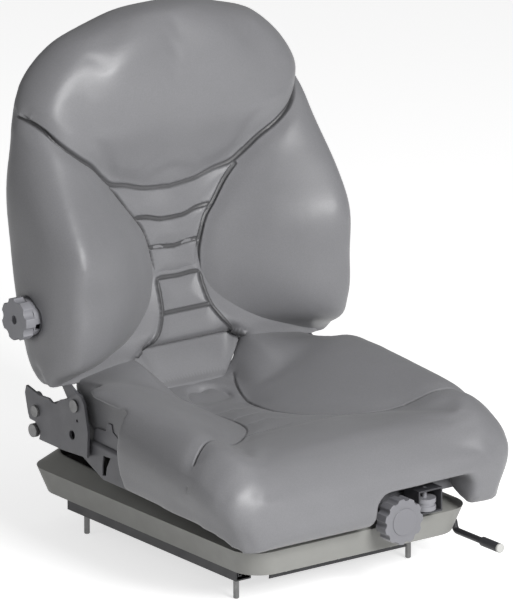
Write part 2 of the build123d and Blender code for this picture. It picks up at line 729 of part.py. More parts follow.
def seat_pan():
    """The pressed pan: a sloping top with walls turned down at the front, sides and rear."""
    side = outline([
        (PAN_FRONT, pan_top(PAN_FRONT)), (PAN_REAR, pan_top(PAN_REAR)), (PAN_REAR, PAN_REAR_BOTTOM_Z),
        (PAN_STEP_REAR, PAN_STEP_Z), (PAN_STEP_FRONT, PAN_SIDE_BOTTOM_Z), (PAN_FRONT, PAN_FRONT_BOTTOM_Z),
    ])
    pan = along_x(side, -PAN_HALF_WIDTH, PAN_HALF_WIDTH)
    long_edges = pan.edges().filter_by(lambda e: abs(e.length - (PAN_REAR - PAN_FRONT)) < 2)
    pan = fillet(long_edges, PAN_EDGE_RADIUS)
    y0, y1 = PAN_FRONT + PAN_SHEET, PAN_REAR - PAN_SHEET
    inner = outline([(y0, 0), (y1, 0), (y1, pan_under(y1)), (y0, pan_under(y0))])
    half = PAN_HALF_WIDTH - PAN_SHEET
    pan -= along_x(inner, -half, half)
    pan -= block(-half, half, y1 - 1, PAN_REAR + 1, 0, PAN_BACK_WALL_BOTTOM_Z)
    slot = outline([(PAN_STEP_FRONT + y, PAN_SIDE_BOTTOM_Z + z) for y, z in PAN_SLOT_EDGE])
    pan -= along_x(slot, -PAN_HALF_WIDTH - 1, PAN_HALF_WIDTH + 1)
    roller_hole = spot(ROLLER_Y, ROLLER_Z, ROLLER_PIN_RADIUS + AXLE_FIT)
    return pan - along_x(roller_hole, -PAN_HALF_WIDTH - 1, PAN_HALF_WIDTH + 1)


def pivot_arm(side):
    """A plate from the pan down to the pivot bush."""
    front, rear = PIVOT_Y - ARM_RADIUS + 3, PIVOT_Y + 75
    face = outline([
        (front, pan_under(front)), (rear, pan_under(rear)),
        (PIVOT_Y + ARM_RADIUS, PIVOT_Z), (front, PIVOT_Z),
    ])
    face += spot(PIVOT_Y, PIVOT_Z, ARM_RADIUS)
    face -= spot(PIVOT_Y, PIVOT_Z, BUSH_RADIUS + AXLE_FIT)
    return mirrored(along_x(face, ARM_X, ARM_X + ARM_THICKNESS), side)


def both_sides(piece):
    """A left-hand piece and its mirror image, in one node."""
    return group([piece, mirror(piece, about=Plane.YZ)])


def pivot_bushes():
    """The plastic bushes between the arms and the axle, with flanges against the lugs."""
    bore = spot(PIVOT_Y, PIVOT_Z, AXLE_RADIUS + AXLE_FIT)
    end = LUG_X - SLIDE_GAP
    bush = along_x(spot(PIVOT_Y, PIVOT_Z, BUSH_RADIUS) - bore, ARM_X - 4, end)
    flange = spot(PIVOT_Y, PIVOT_Z, BUSH_RADIUS + 3) - bore
    return both_sides(bush + along_x(flange, ARM_X + ARM_THICKNESS + 0.1, end))


def adjuster_bearing():
    """The block behind the pan's front wall in which the screw turns."""
    front = PAN_FRONT + PAN_SHEET
    rear = front + BEARING_DEPTH
    side = outline([
        (front, KNOB_Z - 12), (rear, KNOB_Z - 12), (rear, pan_under(rear)), (front, pan_under(front)),
    ])
    bearing = along_x(side, KNOB_X - BEARING_HALF_WIDTH, KNOB_X + BEARING_HALF_WIDTH)
    return bearing - rod_y(front - 1, rear + 1, KNOB_X, KNOB_Z, SCREW_RADIUS + AXLE_FIT)


def spring_bar_guides():
    """Two pins under the pan on which the spring bar slides up and down."""
    pins = []
    middle = (SPRING_BAR_FRONT + SPRING_BAR_REAR) / 2
    foot = SPRING_BAR_BOTTOM - GUIDE_END
    for sx in (-1, 1):
        pins.append(rod_z(foot, pan_under(middle - GUIDE_RADIUS), sx * GUIDE_X, middle, GUIDE_RADIUS))
    return group(pins)


def wedge_under(y):
    """Height of the sloping underside of the wedge."""
    return WEDGE_FRONT_BOTTOM - WEDGE_SLOPE * (y - NUT_REAR)


def preload_wedge():
    """The nut and its wedge plate, which press the spring bar down as the screw turns."""
    rear = SPRING_BAR_REAR + 4
    top_gap = 0.6
    side = outline([
        (NUT_FRONT, wedge_under(NUT_REAR)), (NUT_REAR, wedge_under(NUT_REAR)), (rear, wedge_under(rear)),
        (rear, pan_under(rear) - top_gap), (NUT_FRONT, pan_under(NUT_FRONT) - top_gap),
    ])
    wedge = along_x(side, -WEDGE_HALF_WIDTH, WEDGE_HALF_WIDTH)
    nut = block(
        KNOB_X - NUT_HALF_WIDTH, KNOB_X + NUT_HALF_WIDTH, NUT_FRONT, NUT_REAR,
        KNOB_Z - NUT_HALF_WIDTH, wedge_under(NUT_REAR) + 1,
    )
    wedge += nut
    wedge -= rod_y(NUT_FRONT - 1, NUT_REAR + 1, KNOB_X, KNOB_Z, SCREW_RADIUS + AXLE_FIT)
    middle = (SPRING_BAR_FRONT + SPRING_BAR_REAR) / 2
    half = GUIDE_RADIUS + 1
    for sx in (-1, 1):
        x = sx * GUIDE_X
        reach = half + NUT_TRAVEL
        wedge -= block(x - half, x + half, middle - reach, middle + reach, SPRING_BAR_BOTTOM, PAN_TOP_Z)
    return wedge


def spring_bar():
    """The bar on top of both springs, with a sloping top face and two spigots."""
    front, rear = SPRING_BAR_FRONT, SPRING_BAR_REAR
    side = outline([
        (front, SPRING_BAR_BOTTOM), (rear, SPRING_BAR_BOTTOM),
        (rear, wedge_under(rear) - WEDGE_GAP), (front, wedge_under(front) - WEDGE_GAP),
    ])
    bar = along_x(side, -SPRING_BAR_HALF_WIDTH, SPRING_BAR_HALF_WIDTH)
    middle = (front + rear) / 2
    for sx in (-1, 1):
        bar += rod_z(
            SPRING_BAR_BOTTOM - SPIGOT_HEIGHT, SPRING_BAR_BOTTOM, sx * SPRING_X, SPRING_Y, SPIGOT_RADIUS,
        )
        bar -= rod_z(
            SPRING_BAR_BOTTOM - 1, PAN_TOP_Z, sx * GUIDE_X, middle, GUIDE_RADIUS + GUIDE_FIT,
        )
    return bar


def weight_knob():
    """The scalloped hand knob on the end of the screw."""
    front, rear = KNOB_FACE_Y, KNOB_FACE_Y + KNOB_DEPTH
    face = spot(KNOB_X, KNOB_Z, KNOB_RADIUS)
    reach = KNOB_RADIUS + KNOB_SCALLOP_RADIUS * 0.45
    for index in range(KNOB_LOBES):
        angle = 2 * math.pi * (index + 0.5) / KNOB_LOBES
        x = KNOB_X + reach * math.cos(angle)
        z = KNOB_Z + reach * math.sin(angle)
        face -= spot(x, z, KNOB_SCALLOP_RADIUS)
    knob = along_y(face, front, rear)
    knob += rod_y(front - KNOB_BOSS_HEIGHT, front, KNOB_X, KNOB_Z, KNOB_BOSS_RADIUS)
    hollow = rod_y(rear - KNOB_HOLLOW, rear, KNOB_X, KNOB_Z, KNOB_RADIUS - KNOB_RIM)
    knob -= hollow - rod_y(rear - KNOB_HOLLOW, rear, KNOB_X, KNOB_Z, KNOB_HUB_RADIUS)
    return knob - rod_y(rear - KNOB_BORE_DEPTH, rear, KNOB_X, KNOB_Z, SCREW_RADIUS + AXLE_FIT)


def adjuster_screw():
    """The screw from the knob to the nut, with a collar against the pan's bearing."""
    tip = KNOB_FACE_Y + KNOB_DEPTH - KNOB_BORE_DEPTH + SCREW_TIP_GAP
    screw = rod_y(tip, SCREW_REAR, KNOB_X, KNOB_Z, SCREW_RADIUS)
    collar = PAN_FRONT + PAN_SHEET + BEARING_DEPTH + SLIDE_GAP
    return screw + rod_y(collar, collar + SCREW_COLLAR, KNOB_X, KNOB_Z, SCREW_RADIUS + SCREW_COLLAR_RIM)


def indicator_housing():
    """The open-fronted box beside the knob, with its stem on the pan's front wall."""
    left, right = INDICATOR_X + INDICATOR_HALF_WIDTH, INDICATOR_X - INDICATOR_HALF_WIDTH
    wall = INDICATOR_WALL
    box = block(right, left, INDICATOR_FRONT, INDICATOR_REAR, INDICATOR_BOTTOM, INDICATOR_TOP)
    box -= block(
        right + wall, left - wall, INDICATOR_FRONT - 1, INDICATOR_REAR - wall,
        INDICATOR_BOTTOM + wall, INDICATOR_TOP - wall,
    )
    box += block(
        INDICATOR_X - STEM_HALF_WIDTH, INDICATOR_X + STEM_HALF_WIDTH, INDICATOR_REAR, PAN_FRONT,
        PAN_FRONT_BOTTOM_Z + STEM_RISE, INDICATOR_TOP,
    )
    bore = rod_z(
        INDICATOR_BOTTOM - 1, INDICATOR_TOP + 1, INDICATOR_X, INDICATOR_Y, DRUM_PIN_RADIUS + AXLE_FIT,
    )
    return box - bore


def indicator_drum():
    """The upright drum that turns with the knob, with a groove round its face."""
    drum = rod_z(DRUM_BOTTOM, DRUM_TOP, INDICATOR_X, INDICATOR_Y, DRUM_RADIUS)
    middle = (DRUM_BOTTOM + DRUM_TOP) / 2
    low, high = middle - DRUM_GROOVE / 2, middle + DRUM_GROOVE / 2
    groove = rod_z(low, high, INDICATOR_X, INDICATOR_Y, DRUM_RADIUS + 1)
    drum -= groove - rod_z(low, high, INDICATOR_X, INDICATOR_Y, DRUM_RADIUS - 1.5)
    return drum + rod_z(INDICATOR_BOTTOM, INDICATOR_TOP, INDICATOR_X, INDICATOR_Y, DRUM_PIN_RADIUS)


# Damper

def damper_direction():
    """Unit vector from the lower to the upper pin, and the distance between them."""
    dy, dz = DAMPER_UPPER_Y - DAMPER_LOWER_Y, DAMPER_UPPER_Z - DAMPER_LOWER_Z
    length = math.hypot(dy, dz)
    return Vector(0, dy / length, dz / length), length


def damper_bar(start, end, radius):
    """A round bar on the damper's axis between two distances from the lower pin."""
    direction, _ = damper_direction()
    origin = Vector(0, DAMPER_LOWER_Y, DAMPER_LOWER_Z) + direction * start
    return Plane(origin, z_dir=direction) * Cylinder(
        radius, end - start, align=(Align.CENTER, Align.CENTER, Align.MIN)
    )


def damper_tube():
    """The damper's body with its lower eye."""
    half = DAMPER_EYE_WIDTH / 2
    tube = damper_bar(DAMPER_TUBE_START, DAMPER_TUBE_END, DAMPER_TUBE_RADIUS)
    tube += damper_bar(0, DAMPER_TUBE_START, DAMPER_EYE_RADIUS - 2)
    tube += rod_x(-half, half, DAMPER_LOWER_Y, DAMPER_LOWER_Z, DAMPER_EYE_RADIUS)
    tube -= damper_bar(DAMPER_BORE_START, DAMPER_TUBE_END + 1, DAMPER_ROD_RADIUS + DAMPER_ROD_FIT)
    return tube - rod_x(-half, half, DAMPER_LOWER_Y, DAMPER_LOWER_Z, DAMPER_PIN_RADIUS + AXLE_FIT)


def damper_rod():
    """The damper's rod with its upper eye, whose bore stands clear of the pin."""
    _, length = damper_direction()
    half = DAMPER_EYE_WIDTH / 2
    rod = damper_bar(DAMPER_ROD_START, length - DAMPER_EYE_RADIUS + 2, DAMPER_ROD_RADIUS)
    rod += rod_x(-half, half, DAMPER_UPPER_Y, DAMPER_UPPER_Z, DAMPER_EYE_RADIUS)
    return rod - rod_x(-half, half, DAMPER_UPPER_Y, DAMPER_UPPER_Z, DAMPER_PIN_RADIUS + DAMPER_OPEN_GAP)


# Recline brackets

def round_pin(points):
    """Points in Y and Z given from the recline pin."""
    return [(RECLINE_Y + y, RECLINE_Z + z) for y, z in points]


# The bracket's edge from the recline pin, from its front foot over the ear and the notch to the roller.
BRACKET_EDGE = [
    (-30, -31), (-21, 7), (-14, 15), (-5, 18), (4, 14), (18, 5), (35, 0), (44, -8), (54, -9), (63, -5),
    (84, -6), (106, -1), (115, 1), (118, -10), (111, -37), (107, -45), (93, -46), (81, -57), (85, -69),
    (29, -70), (-28, -67),
]
SPACER_EDGE = [(-23, -67), (41, -69), (41, -62), (-23, -62)]


def side_bracket(side):
    """The outer plate of the recline bracket, with its spacer on the wall of the pan."""
    face = outline(round_pin(BRACKET_EDGE))
    holes = [
        (0, 0, RECLINE_PIN_RADIUS + AXLE_FIT),
        (LOCK_BOLT_REACH, -LOCK_BOLT_DROP, LOCK_BOLT_RADIUS + AXLE_FIT),
        (WINDOW_HOLE_REACH, -WINDOW_HOLE_DROP, WINDOW_HOLE_RADIUS),
        (SMALL_HOLE_REACH, -SMALL_HOLE_DROP, SMALL_HOLE_RADIUS),
        (ROLLER_REACH, -ROLLER_DROP, ROLLER_RADIUS + ROLLER_GAP),
    ]
    for y, z, radius in holes:
        face -= spot(RECLINE_Y + y, RECLINE_Z + z, radius)
    bracket = along_x(face, BRACKET_X, BRACKET_OUT)
    spacer = outline(round_pin(SPACER_EDGE))
    return mirrored(bracket + along_x(spacer, PAN_HALF_WIDTH, BRACKET_X), side)


def recline_pins():
    """The headed pins on which the backrest arms turn."""
    inner = BACK_ARM_X - 4
    pin = rod_x(inner, BRACKET_OUT + 0.2, RECLINE_Y, RECLINE_Z, RECLINE_PIN_RADIUS)
    pin += rod_x(BRACKET_OUT + 0.2, BRACKET_OUT + 3, RECLINE_Y, RECLINE_Z, RECLINE_PIN_HEAD)
    return both_sides(pin + rod_x(inner - 2, inner, RECLINE_Y, RECLINE_Z, RECLINE_PIN_HEAD))


def lock_bolts():
    """The bolts through the arms' curved slots, with their nuts inside."""
    inner = BACK_ARM_X - 1.5
    bolt = rod_x(inner - 6, BRACKET_OUT + 0.2, LOCK_BOLT_Y, LOCK_BOLT_Z, LOCK_BOLT_RADIUS)
    bolt += rod_x(BRACKET_OUT + 0.2, BRACKET_OUT + 4, LOCK_BOLT_Y, LOCK_BOLT_Z, LOCK_BOLT_HEAD)
    nut = Pos(LOCK_BOLT_Y, LOCK_BOLT_Z) * RegularPolygon(LOCK_BOLT_HEAD, 6)
    return both_sides(bolt + along_x(nut, inner - 6, inner))


def stop_rollers():
    """The rollers at the rear edges of the brackets, on their pins through the pan's walls."""
    roller = rod_x(BRACKET_X, BRACKET_OUT + 3, ROLLER_Y, ROLLER_Z, ROLLER_RADIUS)
    pin = rod_x(PAN_HALF_WIDTH - 8, BRACKET_X, ROLLER_Y, ROLLER_Z, ROLLER_PIN_RADIUS)
    return both_sides(roller + pin)


def cushion_hooks():
    """The toothed sheet hooks on the pan that hold the edges of the cushion."""
    foot = pan_top(HOOK_FRONT) + PAN_SLOPE
    tall = [(0, 0), (61, 2.7), (61, 12), (57, 18), (49, 21), (32, 22), (27, 34), (19, 34), (16, 24), (0, 16)]
    face = outline([(HOOK_FRONT + y, foot + z) for y, z in tall])
    return both_sides(along_x(face, CUSHION_INNER_HALF_WIDTH + 1, CUSHION_INNER_HALF_WIDTH + 3))


# Seat cushion

# Each row: distance along the seat, then heights of the centre and of the side bolster's crest,
# half width of the centre channel, crest and side, height of the side's widest line, and of the underside.
SEAT_SECTIONS = [
    (112, 188, 196, 66, 165, 192, 165, 106),
    (92, 172, 206, 52, 182, 214, 178, 106),
    (62, 160, 219, 38, 206, 236, 185, 106),
    (10, 162, 222, 42, 208, 238, 184, 107),
    (-45, 167, 218, 62, 208, 238, 180, 104),
    (-100, 173, 214, 96, 206, 238, 176, 101),
    (-150, 179, 211, 130, 204, 238, 172, 99),
    (-200, 182, 206, 140, 200, 237, 166, 97),
    (-240, 182, 197, 140, 194, 233, 156, 90),
    (-268, 172, 182, 130, 182, 224, 144, 78),
    (-288, 152, 158, 120, 168, 208, 128, 72),
    (-299, 128, 131, 105, 150, 184, 112, 82),
    (-304, 110, 111, 80, 115, 145, 104, 94),
]


SEAT_TABLE_HALF_WIDTH = 238.0
SKIRT_LEAN = 4.0


def smooth_half(keys, steps):
    """Points on a smooth curve through keys, level at the first key and square to that at the last."""
    before = (-keys[1][0], keys[1][1])
    after = (keys[-2][0], 2 * keys[-1][1] - keys[-2][1])
    keys = [before] + keys + [after]
    knots = [0]
    for a, b in zip(keys, keys[1:]):
        knots.append(knots[-1] + math.dist(a, b) ** 0.5)
    points = []
    for i in range(1, len(keys) - 2):
        for step in range(steps):
            points.append(between(keys[i - 1:i + 3], knots[i - 1:i + 3], step / steps))
    return points + [keys[-2]]


def between(keys, knots, share):
    """The point at a share of the way from the second to the third of four keys."""
    t = knots[1] + (knots[2] - knots[1]) * share
    spans = [[(0, 1), (1, 2), (2, 3)], [(0, 2), (1, 3)], [(1, 2)]]
    for level in spans:
        mixed = []
        for index, (low, high) in enumerate(level):
            weight = (t - knots[low]) / (knots[high] - knots[low])
            pair = zip(keys[index], keys[index + 1])
            mixed.append(tuple(a * (1 - weight) + b * weight for a, b in pair))
        keys = mixed
    return keys[0]


def both_halves(half):
    """A full profile from its right-hand half, mirrored about the middle."""
    return [(-u, v) for u, v in reversed(half[1:])] + half


def seat_section(y, centre, crest, channel, crest_x, side, side_z, underside):
    """One slice across the seat cushion."""
    wide = CUSHION_HALF_WIDTH / SEAT_TABLE_HALF_WIDTH
    flank = (wide * (channel + crest_x) / 2, centre * 0.28 + crest * 0.72)
    half = [(0, centre), (wide * channel, centre + 1), flank, (wide * crest_x, crest), (wide * side, side_z)]
    half = smooth_half(half, 2) + [(wide * side - SKIRT_LEAN, underside)]
    return Plane.XZ.offset(-y) * outline(both_halves(half))


def seat_cushion():
    """The seat's foam and cover: raised sides, a low centre with a drain dish, and a deep front."""
    cushion = loft([seat_section(*row) for row in SEAT_SECTIONS], ruled=True)
    front = PAN_FRONT - SOFT_GAP
    rear = SEAT_SECTIONS[0][0] + 1
    under = outline([
        (front, 0), (rear, 0), (rear, pan_top(rear) + SOFT_GAP), (front, pan_top(front) + SOFT_GAP),
    ])
    half = PAN_HALF_WIDTH + SOFT_GAP
    cushion -= along_x(under, -half, half)
    inner = CUSHION_INNER_HALF_WIDTH
    for sx in (-1, 1):
        x0, x1 = sorted((sx * inner, sx * CLEAR_OF_ALL))
        cushion -= block(x0, x1, CUSHION_CUTOUT_FRONT, rear, 0, CUSHION_CUTOUT_TOP)
        cushion -= block(x0, x1, CUSHION_WING_REAR, rear, 0, CLEAR_OF_ALL)
    recess = Rectangle(RECESS_LEFT_X - RECESS_RIGHT_X, 2 * RECESS_TOP)
    recess = Pos((RECESS_LEFT_X + RECESS_RIGHT_X) / 2, 0) * recess
    recess = fillet(recess.vertices().sort_by(Axis.Y)[-2:], RECESS_CORNER)
    cushion -= along_y(recess, SEAT_SECTIONS[-1][0] - 1, front + 1)
    dish = Pos(0, DISH_Y) * Ellipse(DISH_HALF_X, DISH_HALF_Y)
    floor = SEAT_SECTIONS[2][1] - DISH_DEPTH
    return cushion - along_z(dish, floor, PAN_TOP_Z + 100)


# Backrest

# Each row: height, then depths of the centre channel and of the bolster's front, half widths of the channel,
# bolster crest and side, half width of the rear corner, and depth of the rear face.
BACK_SECTIONS = [
    (207, 113, 111, 62, 186, 222, 210, 166),
    (222, 112, 98, 62, 194, 230, 218, 172),
    (238, 114, 80, 60, 212, 241, 231, 182),
    (262, 125, 71, 48, 220, 247, 239, 191),
    (330, 157, 68, 40, 222, 251, 244, 206),
    (400, 168, 70, 56, 222, 252, 245, 217),
    (445, 173, 96, 88, 220, 250, 245, 225),
    (490, 170, 128, 112, 216, 243, 243, 231),
    (550, 154, 158, 118, 205, 229, 235, 236),
    (600, 151, 168, 108, 186, 210, 217, 240),
    (645, 157, 175, 90, 148, 178, 184, 240),
    (678, 173, 184, 60, 98, 130, 132, 232),
    (692, 190, 198, 30, 50, 72, 72, 220),
]
BACK_TABLE_HALF_WIDTH = 252.0
REAR_BULGE = 7.0
REAR_BEVEL = 12.0
CAVITY_FRONT = [
    (127, 180), (126, 240), (138, 262), (158, 302), (170, 335), (180, 400), (186, 450), (184, 500),
    (180, 588),
]
REAR_LINE = [(176, 222), (199, 302), (221, 400), (231, 470), (237, 584)]
PAN_LINE = [(167, 228), (185, 302), (204, 400), (213, 470), (218, 572)]
CAVITY_TOP = 588.0
CAVITY_REAR = 280.0


def back_section(z, centre, front, channel, crest_x, side, corner, rear):
    """One slice across the backrest."""
    wide = BACK_HALF_WIDTH / BACK_TABLE_HALF_WIDTH
    channel, crest_x, side, corner = wide * channel, wide * crest_x, wide * side, wide * corner
    middle = (front + rear) / 2
    flank = ((channel + crest_x) * 0.48, centre * 0.38 + front * 0.62)
    half = [(0, centre), (channel, centre - 1), flank, (crest_x, front), (side, middle)]
    bevel = min(REAR_BEVEL, (rear - front) / 4)
    half = smooth_half(half, 2) + [((side + corner) / 2, rear - bevel), (corner - bevel, rear)]
    return Plane.XY.offset(z) * outline(both_halves(half) + [(0, rear + REAR_BULGE)])


def back_cushion():
    """The backrest's foam and cover: deep side bolsters, a centre channel and a smooth head."""
    cushion = loft([back_section(*row) for row in BACK_SECTIONS], ruled=True)
    bottom = BACK_SECTIONS[0][0]
    hollow = outline([(CAVITY_REAR, CAVITY_FRONT[0][1])] + CAVITY_FRONT + [(CAVITY_REAR, CAVITY_TOP)])
    cushion -= along_x(hollow, -BACK_CAVITY_HALF_WIDTH, BACK_CAVITY_HALF_WIDTH)
    tongue_front = BACK_SECTIONS[0][1] + 1
    tongue_rear = CAVITY_FRONT[0][0]
    tongue = block(
        -TONGUE_HALF_WIDTH, TONGUE_HALF_WIDTH, tongue_front, tongue_rear,
        TONGUE_BOTTOM, bottom + TONGUE_THICKNESS,
    )
    cushion += tongue
    cushion -= rod_x(-CLEAR_OF_ALL, BEZEL_INNER_X, LUMBAR_Y, LUMBAR_Z, BEZEL_RADIUS + SOFT_GAP)
    cushion -= rod_x(-CLEAR_OF_ALL, CAM_X, LUMBAR_Y, LUMBAR_Z, LUMBAR_SHAFT_RADIUS + SHAFT_ROOM)
    return cushion - block(
        -BACK_CAVITY_HALF_WIDTH, -LUMBAR_PLATE_HALF_WIDTH + CAM_ROOM,
        LUMBAR_Y - 2 * CAM_RADIUS, LUMBAR_Y + 3 * CAM_RADIUS,
        LUMBAR_Z - 2 * CAM_RADIUS, LUMBAR_Z + 2 * CAM_RADIUS,
    )


def sheet_along(line, sheet, half_width):
    """A sheet bent to a line in Y and Z, running across the seat."""
    return along_x(folded(line, sheet, Side.LEFT), -half_width, half_width)


def back_shell():
    """The plastic panel that closes the rear of the backrest."""
    return sheet_along(REAR_LINE, SHELL_SHEET, BACK_CAVITY_HALF_WIDTH - SOFT_GAP)


def back_pan():
    """The pressed sheet inside the backrest, with its side flanges turned forward."""
    pan = sheet_along(PAN_LINE, BACK_PAN_SHEET, BACK_PAN_HALF_WIDTH)
    inner = BACK_PAN_HALF_WIDTH - BACK_PAN_SHEET
    low = [(y - BACK_PAN_FLANGE, z) for y, z in PAN_LINE]
    flange = outline(low + list(reversed(PAN_LINE)))
    pan += along_x(flange, inner, BACK_PAN_HALF_WIDTH)
    return pan + along_x(flange, -BACK_PAN_HALF_WIDTH, -inner)


def polar(angle, radius):
    """A point in Y and Z round the recline pin."""
    turn = math.radians(angle)
    return (RECLINE_Y + radius * math.cos(turn), RECLINE_Z + radius * math.sin(turn))


def arc_band(inner, outer, start, end):
    """A curved band round the recline pin with round ends."""
    middle, half = (inner + outer) / 2, (outer - inner) / 2
    steps = 6
    angles = [start + (end - start) * index / steps for index in range(steps + 1)]
    band = outline([polar(a, outer) for a in angles] + [polar(a, inner) for a in reversed(angles)])
    for angle in (start, end):
        y, z = polar(angle, middle)
        band += spot(y, z, half)
    return band


# The arm's strip up the backrest and its tail to the lock bolt, from the recline pin.
ARM_STRIP = [
    (-12, 9), (21, 26), (33, 51), (58, 109), (69, 149), (81, 149), (73, 109), (61, 59), (41, 24), (13, -9),
]
ARM_TAIL = [(-4, -15), (9, 11), (87, -23), (81, -55)]


def back_arm(side):
    """The plate that carries the backrest: an eye on the pin, a strip up inside and a slotted tail."""
    reach = math.hypot(LOCK_BOLT_Y - RECLINE_Y, LOCK_BOLT_Z - RECLINE_Z)
    bolt_angle = math.degrees(math.atan2(LOCK_BOLT_Z - RECLINE_Z, LOCK_BOLT_Y - RECLINE_Y))
    tail_half = LOCK_BOLT_RADIUS + LOCK_TAIL_RIM
    face = spot(RECLINE_Y, RECLINE_Z, ARM_EYE_RADIUS)
    face += outline(round_pin(ARM_STRIP))
    face += outline(round_pin(ARM_TAIL))
    face += arc_band(reach - tail_half, reach + tail_half, bolt_angle, bolt_angle + RECLINE_TRAVEL)
    slot = LOCK_BOLT_RADIUS + LOCK_SLOT_GAP
    face -= arc_band(reach - slot, reach + slot, bolt_angle, bolt_angle + RECLINE_TRAVEL)
    face -= spot(RECLINE_Y, RECLINE_Z, RECLINE_PIN_RADIUS + AXLE_FIT)
    return mirrored(along_x(face, BACK_ARM_X, BACK_ARM_X + BACK_ARM_THICKNESS), side)


# Lumbar support

def lumbar_bezel():
    """The collar round the lumbar knob's shaft, with a slot in its side."""
    outer_x = LUMBAR_KNOB_FACE_X + LUMBAR_KNOB_DEPTH + SLIDE_GAP
    ring = rod_x(outer_x, BEZEL_INNER_X, LUMBAR_Y, LUMBAR_Z, BEZEL_RADIUS)
    ring -= rod_x(outer_x - 1, BEZEL_INNER_X - BEZEL_WALL, LUMBAR_Y, LUMBAR_Z, BEZEL_RADIUS - BEZEL_WALL)
    bore = LUMBAR_SHAFT_RADIUS + LUMBAR_SHAFT_FIT
    ring -= rod_x(BEZEL_INNER_X - BEZEL_WALL, BEZEL_INNER_X, LUMBAR_Y, LUMBAR_Z, bore)
    slot_x = outer_x + BEZEL_SLOT_INSET
    front = LUMBAR_Y - BEZEL_RADIUS
    return ring - block(
        slot_x, slot_x + BEZEL_SLOT_LENGTH, front - 1, front + BEZEL_SLOT_DEPTH,
        LUMBAR_Z - BEZEL_SLOT_LOW, LUMBAR_Z - BEZEL_SLOT_HIGH,
    )


def lumbar_knob():
    """The lobed hand knob with a blind bore in its face."""
    face = spot(LUMBAR_Y, LUMBAR_Z, LUMBAR_KNOB_RADIUS)
    scallop = LUMBAR_KNOB_SCALLOP
    reach = LUMBAR_KNOB_RADIUS + scallop * 0.55
    for index in range(LUMBAR_KNOB_LOBES):
        angle = 2 * math.pi * index / LUMBAR_KNOB_LOBES
        face -= spot(LUMBAR_Y + reach * math.cos(angle), LUMBAR_Z + reach * math.sin(angle), scallop)
    front, rear = LUMBAR_KNOB_FACE_X, LUMBAR_KNOB_FACE_X + LUMBAR_KNOB_DEPTH
    knob = along_x(face, front, rear)
    knob -= rod_x(front, front + LUMBAR_BORE_DEPTH - 2, LUMBAR_Y, LUMBAR_Z, LUMBAR_BORE_RADIUS)
    return knob - rod_x(rear - 6, rear, LUMBAR_Y, LUMBAR_Z, LUMBAR_SHAFT_RADIUS + LUMBAR_SHAFT_FIT)


def lumbar_shaft():
    """The shaft from the knob, with an eccentric disc near its inner end."""
    start = LUMBAR_KNOB_FACE_X + LUMBAR_KNOB_DEPTH - 5.5
    end = CAM_X + CAM_WIDTH + 12
    shaft = rod_x(start, end, LUMBAR_Y, LUMBAR_Z, LUMBAR_SHAFT_RADIUS)
    return shaft + rod_x(CAM_X, CAM_X + CAM_WIDTH, LUMBAR_Y + CAM_OFFSET, LUMBAR_Z, CAM_RADIUS)


def pan_line_y(z):
    """Depth of the backrest pan's front face at a height."""
    for (y0, z0), (y1, z1) in zip(PAN_LINE, PAN_LINE[1:]):
        if z0 <= z <= z1:
            return y0 + (y1 - y0) * (z - z0) / (z1 - z0) - BACK_PAN_SHEET
    return PAN_LINE[0][0] - BACK_PAN_SHEET


def lug_face(front, middle, half):
    """Side view of a lug from its front edge back to the face of the pan."""
    z0, z1 = middle - half, middle + half
    return outline([
        (front, z0), (pan_line_y(z0) - PAN_TOUCH, z0), (pan_line_y(z1) - PAN_TOUCH, z1), (front, z1),
    ])


def lumbar_brackets():
    """Lugs on the backrest pan: two for the plate's hinge pins, one for the end of the shaft."""
    solids = []
    for x in (-LUMBAR_HINGE_X, LUMBAR_HINGE_X):
        face = lug_face(LUMBAR_HINGE_Y, LUMBAR_HINGE_Z, LUG_HALF_HEIGHT)
        face += spot(LUMBAR_HINGE_Y, LUMBAR_HINGE_Z, LUG_HALF_HEIGHT)
        lug = along_x(face, x - 2, x + 2)
        solids.append(lug + rod_x(x - 8, x + 8, LUMBAR_HINGE_Y, LUMBAR_HINGE_Z, LUMBAR_HINGE_RADIUS))
    face = lug_face(LUMBAR_Y - SHAFT_LUG_REACH, LUMBAR_Z, SHAFT_LUG_HALF_HEIGHT)
    face -= spot(LUMBAR_Y, LUMBAR_Z, LUMBAR_SHAFT_RADIUS + LUMBAR_SHAFT_FIT)
    x = CAM_X + CAM_WIDTH + 6
    solids.append(along_x(face, x, x + 4))
    return group(solids)


